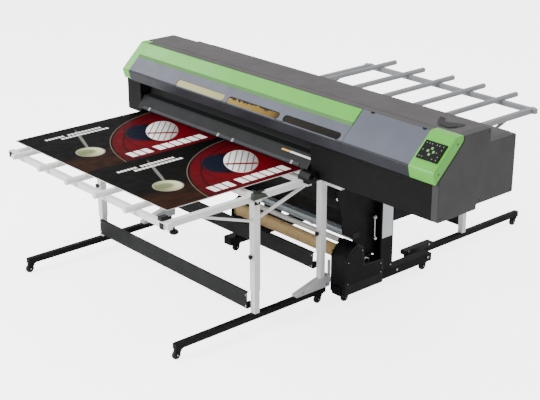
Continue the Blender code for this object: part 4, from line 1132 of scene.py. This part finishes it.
# %% Legs
LEG_X, POST_Y = 0.562, (-0.080, 0.040)
GUSSET_TOP = [(-0.380, 0.470), (-0.400, 0.600), (-0.450, 0.790), (-0.075, 0.790)]
GUSSETS = {"left_leg": [(-0.075, 0.370), *GUSSET_TOP],
           "right_leg": [(-0.075, 0.256), (-0.264, 0.262), (-0.283, 0.396), (-0.300, 0.425), *GUSSET_TOP]}
ARM = [(-0.075, 0.126), (-0.075, 0.240), (-0.360, 0.440), (-0.430, 0.400), (-0.440, 0.300), (-0.400, 0.126)]
LEG_PLUG = rectangle((0.0685, 0.1275), (-0.0395, 0.0395), 0.006)
for name, sign in (("left_leg", -1.0), ("right_leg", 1.0)):
    x = sign * LEG_X
    base = rectangle((0.068, 0.128), (x - 0.040, x + 0.040), 0.006)
    post = rectangle((x - 0.036, x + 0.036), POST_Y, 0.006)
    inner = sorted((x - sign * 0.033, x - sign * 0.020))
    parts = [hollow_tube(base, 0.004, -0.456, 0.436, ALONG_Y),
             hollow_tube(post, 0.004, 0.1265, 0.7995, UPRIGHT),
             slab(rounded(GUSSETS[name], 0.010), *inner, 0.0015, ALONG_X),
             block((x - 0.060, x + 0.060), (-0.120, 0.080), (0.7930, 0.7995), 0.002)]
    parts += [slab(LEG_PLUG + (0, x), *y, 0.002, ALONG_Y) for y in ((-0.460, -0.456), (0.436, 0.440))]
    if sign < 0:
        boss = [(0.028, 0), (0.030, 0.002), (0.030, 0.038), (0.026, 0.0405)]
        parts += [slab(rounded(ARM, 0.012), *inner, 0.0015, ALONG_X),
                  turned(boss, at(ALONG_X, x + 0.025, CORE_Y, CORE_Z))]
    piece(f"{name}_frame", parts, "printer", BLACK, [name])
heads = [bolt(at(ALONG_X, LEG_X + 0.0398, y, 0.104), 0.009, 0.006) for y in (0.085, 0.400)]
heads += [bolt(at(ALONG_X, LEG_X + 0.0358, y, z), 0.006, 0.004)
          for y in (-0.060, 0.020) for z in (0.160, 0.770)]
piece("leg_bolts", heads, "printer", STEEL)
plate = rounded(rectangle((-0.070, 0.030), (0.375, 0.640)), 0.004)
piece("blank_plate", [slab(plate, LEG_X + 0.0355, LEG_X + 0.0370, 0.0005, ALONG_X)], "printer", LABEL)
tag = rounded(rectangle((0.075, 0.165), (0.700, 0.772)), 0.003)
piece("rear_tag", [slab(tag, 0.6003, 0.6015, 0.0004, ALONG_X)], "printer", LABEL)

# %% Take-up unit
DRIVE_RADII = [0.008, 0.02, 0.02, 0.02, 0.02, 0.012, 0.012, 0.008]
drive = rounded([(-0.452, 0.129), (-0.452, 0.335), (-0.402, 0.398), (-0.345, 0.432), (-0.285, 0.395),
                 (-0.268, 0.262), (-0.095, 0.252), (-0.095, 0.129)], DRIVE_RADII)
skirts = [block(x, (-0.452, -0.095), (0.079, 0.135), 0.003) for x in ((0.500, 0.5215), (0.6025, 0.640))]
piece("drive_housing", [slab(drive, 0.500, 0.640, 0.005, ALONG_X, 4), *skirts], "printer", BLACK_PLASTIC,
      ["takeup_drive"])
lid = rounded([(-0.440, 0.150), (-0.440, 0.325), (-0.398, 0.380), (-0.345, 0.412), (-0.298, 0.382),
               (-0.284, 0.246), (-0.110, 0.238), (-0.110, 0.150)], 0.014)
piece("drive_lid", [slab(lid, 0.6395, 0.6425, 0.0012, ALONG_X)], "printer", BLACK)
lid_screws = [bolt(out_right(0.6422, y, z), 0.004, 0.002) for y, z in
              ((-0.430, 0.162), (-0.428, 0.315), (-0.300, 0.370), (-0.120, 0.226), (-0.120, 0.162))]
piece("drive_screws", lid_screws, "printer", STEEL)
handle = np.array([(0.600, -0.258 + 0.062 * s, 0.250 + 0.032 * math.sin(math.pi * s) ** 0.5)
                   for s in np.linspace(0, 1, 15)])
piece("drive_handle", [pipe(handle, 0.0055)], "printer", STEEL)

strip_plate = [block((0.4700, 0.4965), (-0.4520, -0.4485), (0.1300, 0.2950), 0.001),
               block((0.4930, 0.5005), (-0.4520, -0.4300), (0.1400, 0.1700), 0.001)]
piece("core_guard", strip_plate, "printer", FOOT_GREY)

core = hollow_tube(circle(0.043, 40), 0.004, -0.4845, 0.4845, at(ALONG_X, 0, CORE_Y, CORE_Z))
piece("core_tube", [core], "takeup_core", CARDBOARD, ["takeup_core"])
flange = [(0.014, 0), (0.036, 0), (0.0385, 0.004), (0.0385, 0.0135), (0.049, 0.014), (0.049, 0.0185),
          (0.046, 0.0200), (0.018, 0.0200), (0.014, 0.0212), (0.004, 0.0212)]
ends = [turned(flange, at(ALONG_X, 0.4745, CORE_Y, CORE_Z), 32),
        turned_over(turned(flange, at(TO_LEFT, -0.4745, CORE_Y, CORE_Z), 32))]
piece("core_flanges", ends, "takeup_core", FLANGE_TAN)
spokes = [slab(rectangle((-0.003, 0.003), (0.018, 0.044), 0.002), 0.4940, 0.4958, 0.0005,
               np.array([[0, 0, 1, 0], [math.cos(a), -math.sin(a), 0, CORE_Y],
                         [math.sin(a), math.cos(a), 0, CORE_Z]]))
          for a in np.arange(5) * 2 * math.pi / 5]
piece("core_spokes", spokes, "takeup_core", STEEL)

TENSION_YZ = (-0.352, 0.407)
tube = [round_tube((-0.5275, *TENSION_YZ), (0.480, *TENSION_YZ), 0.018, 0.0015, 24)]
piece("tension_bar", tube, "tension_tube", WHITE, ["tension_tube"])
tube_ends = [round_bar((0.4795, *TENSION_YZ), (0.4992, *TENSION_YZ), 0.0182, 24),
             round_bar((-0.5279, *TENSION_YZ), (-0.512, *TENSION_YZ), 0.0175, 24)]
piece("tension_bar_ends", tube_ends, "tension_tube", BLACK_PLASTIC)

BAR_HALF, BAR_END = 0.5287, 0.5450
groove = [(-0.300, 0.412), (-0.300, 0.4265), (-0.2925, 0.4265), (-0.2925, 0.4335), (-0.300, 0.4335),
          (-0.300, 0.456), (-0.271, 0.456), (-0.271, 0.4485), (-0.261, 0.4485), (-0.261, 0.456),
          (-0.232, 0.456), (-0.232, 0.412)]
piece("grooved_bar", [slab(rounded(groove, 0.0006, 2), 0.003 - BAR_HALF, BAR_END - 0.006, 0.0004, ALONG_X)],
      "printer", BAR_GREY, ["cross_bar"])
caps = [slab(rectangle((-0.2995, -0.2325), (0.4125, 0.4555), 0.003), *x, 0.001, ALONG_X)
        for x in ((-BAR_HALF, 0.003 - BAR_HALF), (BAR_END - 0.006, BAR_END))]
piece("grooved_bar_caps", caps, "printer", BLACK_PLASTIC)

# %% [markdown]
# The curved apron guides roll media down from the platen. The lever's stem is bright steel, with a
# turned ball on top.

# %% Apron and lever
a = np.radians(np.linspace(170, 232, 12))
curve = [(-0.190 + 0.262 * math.cos(v), 0.820 + 0.262 * math.sin(v)) for v in a]
apron = strip([(-0.455, 0.905), *curve, (-0.290, 0.480)], 0.0028)
piece("apron_skin", [slab(apron, -0.525, 0.525, 0.0006, ALONG_X)], "printer", BLACK,
      ["lower_apron"])

LEVER = np.array([0.572, -0.118, 0.385])
hub = [(0.009, 0), (0.012, 0.002), (0.012, 0.040), (0.010, 0.0424)]
stem = [(0.0065, 0.006), (0.0050, 0.030), (0.0048, 0.142)]
ball_angle = np.linspace(-1.25, 1.5, 12)
ball_profile = [(0.0155 * math.cos(v), 0.151 + 0.0155 * math.sin(v)) for v in ball_angle]
lever = [turned(hub, at(ALONG_X, 0.5425, LEVER[1], LEVER[2])),
         turned(stem + ball_profile, at(UPRIGHT, *LEVER))]
piece("ball_lever", lever, "load_lever", STEEL, ["load_lever"])

# %% [markdown]
# ## Twelve casters
#
# One design throughout: a pressed fork under a ball race, a moulded wheel with a tyre, and an axle
# screw. The fork turns about its swivel and the wheel rolls in it, so they ride on two bodies.

# %% Casters
CASTERS = {"front_table": [(x, y) for x in TABLE_X for y in (-1.690, -0.515)],
           "rear_table": [(x, y) for x in TABLE_X for y in (0.370, 1.545)],
           "printer": [(x, y) for x in (-LEG_X, LEG_X) for y in (-0.360, 0.410)]}
TRAIL, WHEEL_Z = 0.020, 0.030
CHEEK = [(-0.031, 0.024), (-0.020, 0.019), (-0.009, 0.024), (0.012, 0.056), (0.012, 0.064), (-0.030, 0.064)]
TYRE = [(0.0200, 0.0008), (0.0262, 0.0006), (0.0290, 0.0026), (0.0300, 0.0068), (0.0300, 0.0152),
        (0.0290, 0.0194), (0.0262, 0.0214), (0.0200, 0.0212)]
HUB = [(0.004, 0.0016), (0.0205, 0.0016), (0.0205, 0.0034), (0.0190, 0.0050), (0.0190, 0.0170),
       (0.0205, 0.0186), (0.0205, 0.0204), (0.004, 0.0204)]


def caster(x, y):
    """The fork's parts and the wheel's two, at one swivel."""
    cheeks = [slab(rounded(CHEEK, 0.006) + (y, 0), *side_x, 0.0007, ALONG_X)
              for side_x in ((x - 0.0152, x - 0.0122), (x + 0.0122, x + 0.0152))]
    race = [(0.012, 0.0600), (0.0150, 0.0610), (0.0150, 0.0640), (0.0130, 0.0655), (0.006, 0.0660)]
    fork = [*cheeks, block((x - 0.0150, x + 0.0150), (y - 0.029, y + 0.011), (0.0618, 0.0645), 0.0008),
            turned(race, at(UPRIGHT, x, y, 0), 20),
            slab(rectangle((x - 0.019, x + 0.019), (y - 0.022, y + 0.022), 0.003), 0.0637, 0.0677, 0.0008)]
    axle = [bolt(at(ALONG_X, x + 0.0150, y - TRAIL, WHEEL_Z), 0.0052, 0.0030),
            turned_over(bolt(at(TO_LEFT, x - 0.0150, y - TRAIL, WHEEL_Z), 0.0052, 0.0030))]
    centre = at(ALONG_X, x - 0.011, y - TRAIL, WHEEL_Z)
    return fork, axle, turned(TYRE, centre, 32), turned(HUB, centre, 24)


for stand, places in CASTERS.items():
    for number, (x, y) in enumerate(places, start=1):
        fork, axle, tyre, wheel_hub = caster(x, y)
        fork_node, wheel_node = f"{stand}_caster_fork_{number}", f"{stand}_caster_wheel_{number}"
        piece(fork_node + "_skin", fork, fork_node, BLACK, [fork_node])
        piece(fork_node + "_axle", axle, fork_node, STEEL)
        piece(wheel_node + "_tyre", [tyre], wheel_node, RUBBER, [wheel_node])
        piece(wheel_node + "_hub", [wheel_hub], wheel_node, PANEL_GREY)

# %% [markdown]
# ## What the covers hide
#
# The beam, the rail, the carriage, the lamp, the capping station, the roller, the platen and the
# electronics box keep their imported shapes, which are right for them, and get these finishes. The
# pad of the controls does too, because its four holes are already there.

# %% Finishes of the nodes that stay
STAYING = {"chassis": BLACK, "platen": drawn_metal("milled_platen", "#8f9497", "#7f8487", 0.42, ALONG),
           "guide_rail": STEEL, "carriage": BLACK_PLASTIC, "capping_station": BLACK_PLASTIC,
           "uv_lamp": ALUMINIUM_X, "feed_roller": STEEL, "electronics_box": BLACK,
           "key_bezel": BLACK_PLASTIC}
for node, finish in STAYING.items():
    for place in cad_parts[node].material_slots:
        place.material = finish

# %% [markdown]
# ## Floor, light and camera
#
# A wide sheet of white paper, one large soft light from the front and left, a weak one from the
# left, one from above and behind, and a bright even world. The sheet is flat and has no wall, so
# that the object can be looked at from every side. To the camera alone the paper also glows a
# little, which makes it white without lighting the undersides of the object.

# %% Studio
PAPER_SIZE, PAPER_GLOW = 120.0, 3.5
paper, paper_tree, paper_shader = new_finish("studio_paper", Roughness=0.75)
tint = between_values(paper_tree, cloud(paper_tree, 900.0, 2.0), 0.0, 1.0)
paper_tree.links.new(blend_colours(paper_tree, tint, linear("#fafafa"), linear("#f7f7f7")),
                     paper_shader.inputs["Base Color"])
seen = add(paper_tree, "LightPath").outputs["Is Camera Ray"]
glow = add(paper_tree, "Math", {0: seen, 1: PAPER_GLOW}, operation="MULTIPLY").outputs[0]
paper_tree.links.new(glow, paper_shader.inputs["Emission Strength"])
paper_shader.inputs["Emission Color"].default_value = linear("#ffffff")
corners = PAPER_SIZE / 2 * np.array([(-1, -1, 0), (1, -1, 0), (1, 1, 0), (-1, 1, 0)])
ground = bpy.data.meshes.new("studio_floor")
ground.from_pydata(corners.tolist(), [], [(0, 1, 2, 3)])
ground.materials.append(paper)
floor = bpy.data.objects.new("studio_floor", ground)
bpy.context.scene.collection.objects.link(floor)

TARGET, DISTANCE = np.array([-0.290, -0.288, 0.450]), 8.711
AZIMUTH, ELEVATION = math.radians(48.589), math.radians(21.2)
AWAY = np.array([math.cos(ELEVATION) * math.sin(AZIMUTH), -math.cos(ELEVATION) * math.cos(AZIMUTH),
                 math.sin(ELEVATION)])


def look_at(obj, place, goal):
    """Points an object's -Z from place to goal, with +Y as near up as it can be."""
    back = np.subtract(place, goal) / np.linalg.norm(np.subtract(place, goal))
    right = np.cross((0, 0, 1), back)
    right /= np.linalg.norm(right)
    rows = np.column_stack([right, np.cross(back, right), back, place])
    obj.matrix_world = Matrix([*rows.tolist(), [0, 0, 0, 1]])


def soft_light(name, place, size, power):
    """A square area light of so many watts that shines at the middle of the object."""
    lamp = bpy.data.lights.new(name, "AREA")
    lamp.size, lamp.energy = size, power
    made = bpy.data.objects.new(name, lamp)
    bpy.context.scene.collection.objects.link(made)
    look_at(made, place, (0.0, 0.0, 0.6))


soft_light("key_light", (-2.5, -7.5, 5.0), 3.0, 780.0)
soft_light("left_light", (-7.5, -2.8, 5.5), 2.5, 120.0)
soft_light("top_light", (1.5, 2.5, 7.0), 5.0, 260.0)
world = bpy.data.worlds.new("studio")
world.use_nodes = True
backdrop = world.node_tree.nodes["Background"]
backdrop.inputs["Color"].default_value = linear("#ffffff")
backdrop.inputs["Strength"].default_value = 1.0
bpy.context.scene.world = world

lens = bpy.data.cameras.new("camera")
lens.lens, lens.sensor_width = 82.10, 36.0
camera = bpy.data.objects.new("camera", lens)
bpy.context.scene.collection.objects.link(camera)
look_at(camera, TARGET + DISTANCE * AWAY, TARGET)
bpy.context.scene.camera = camera
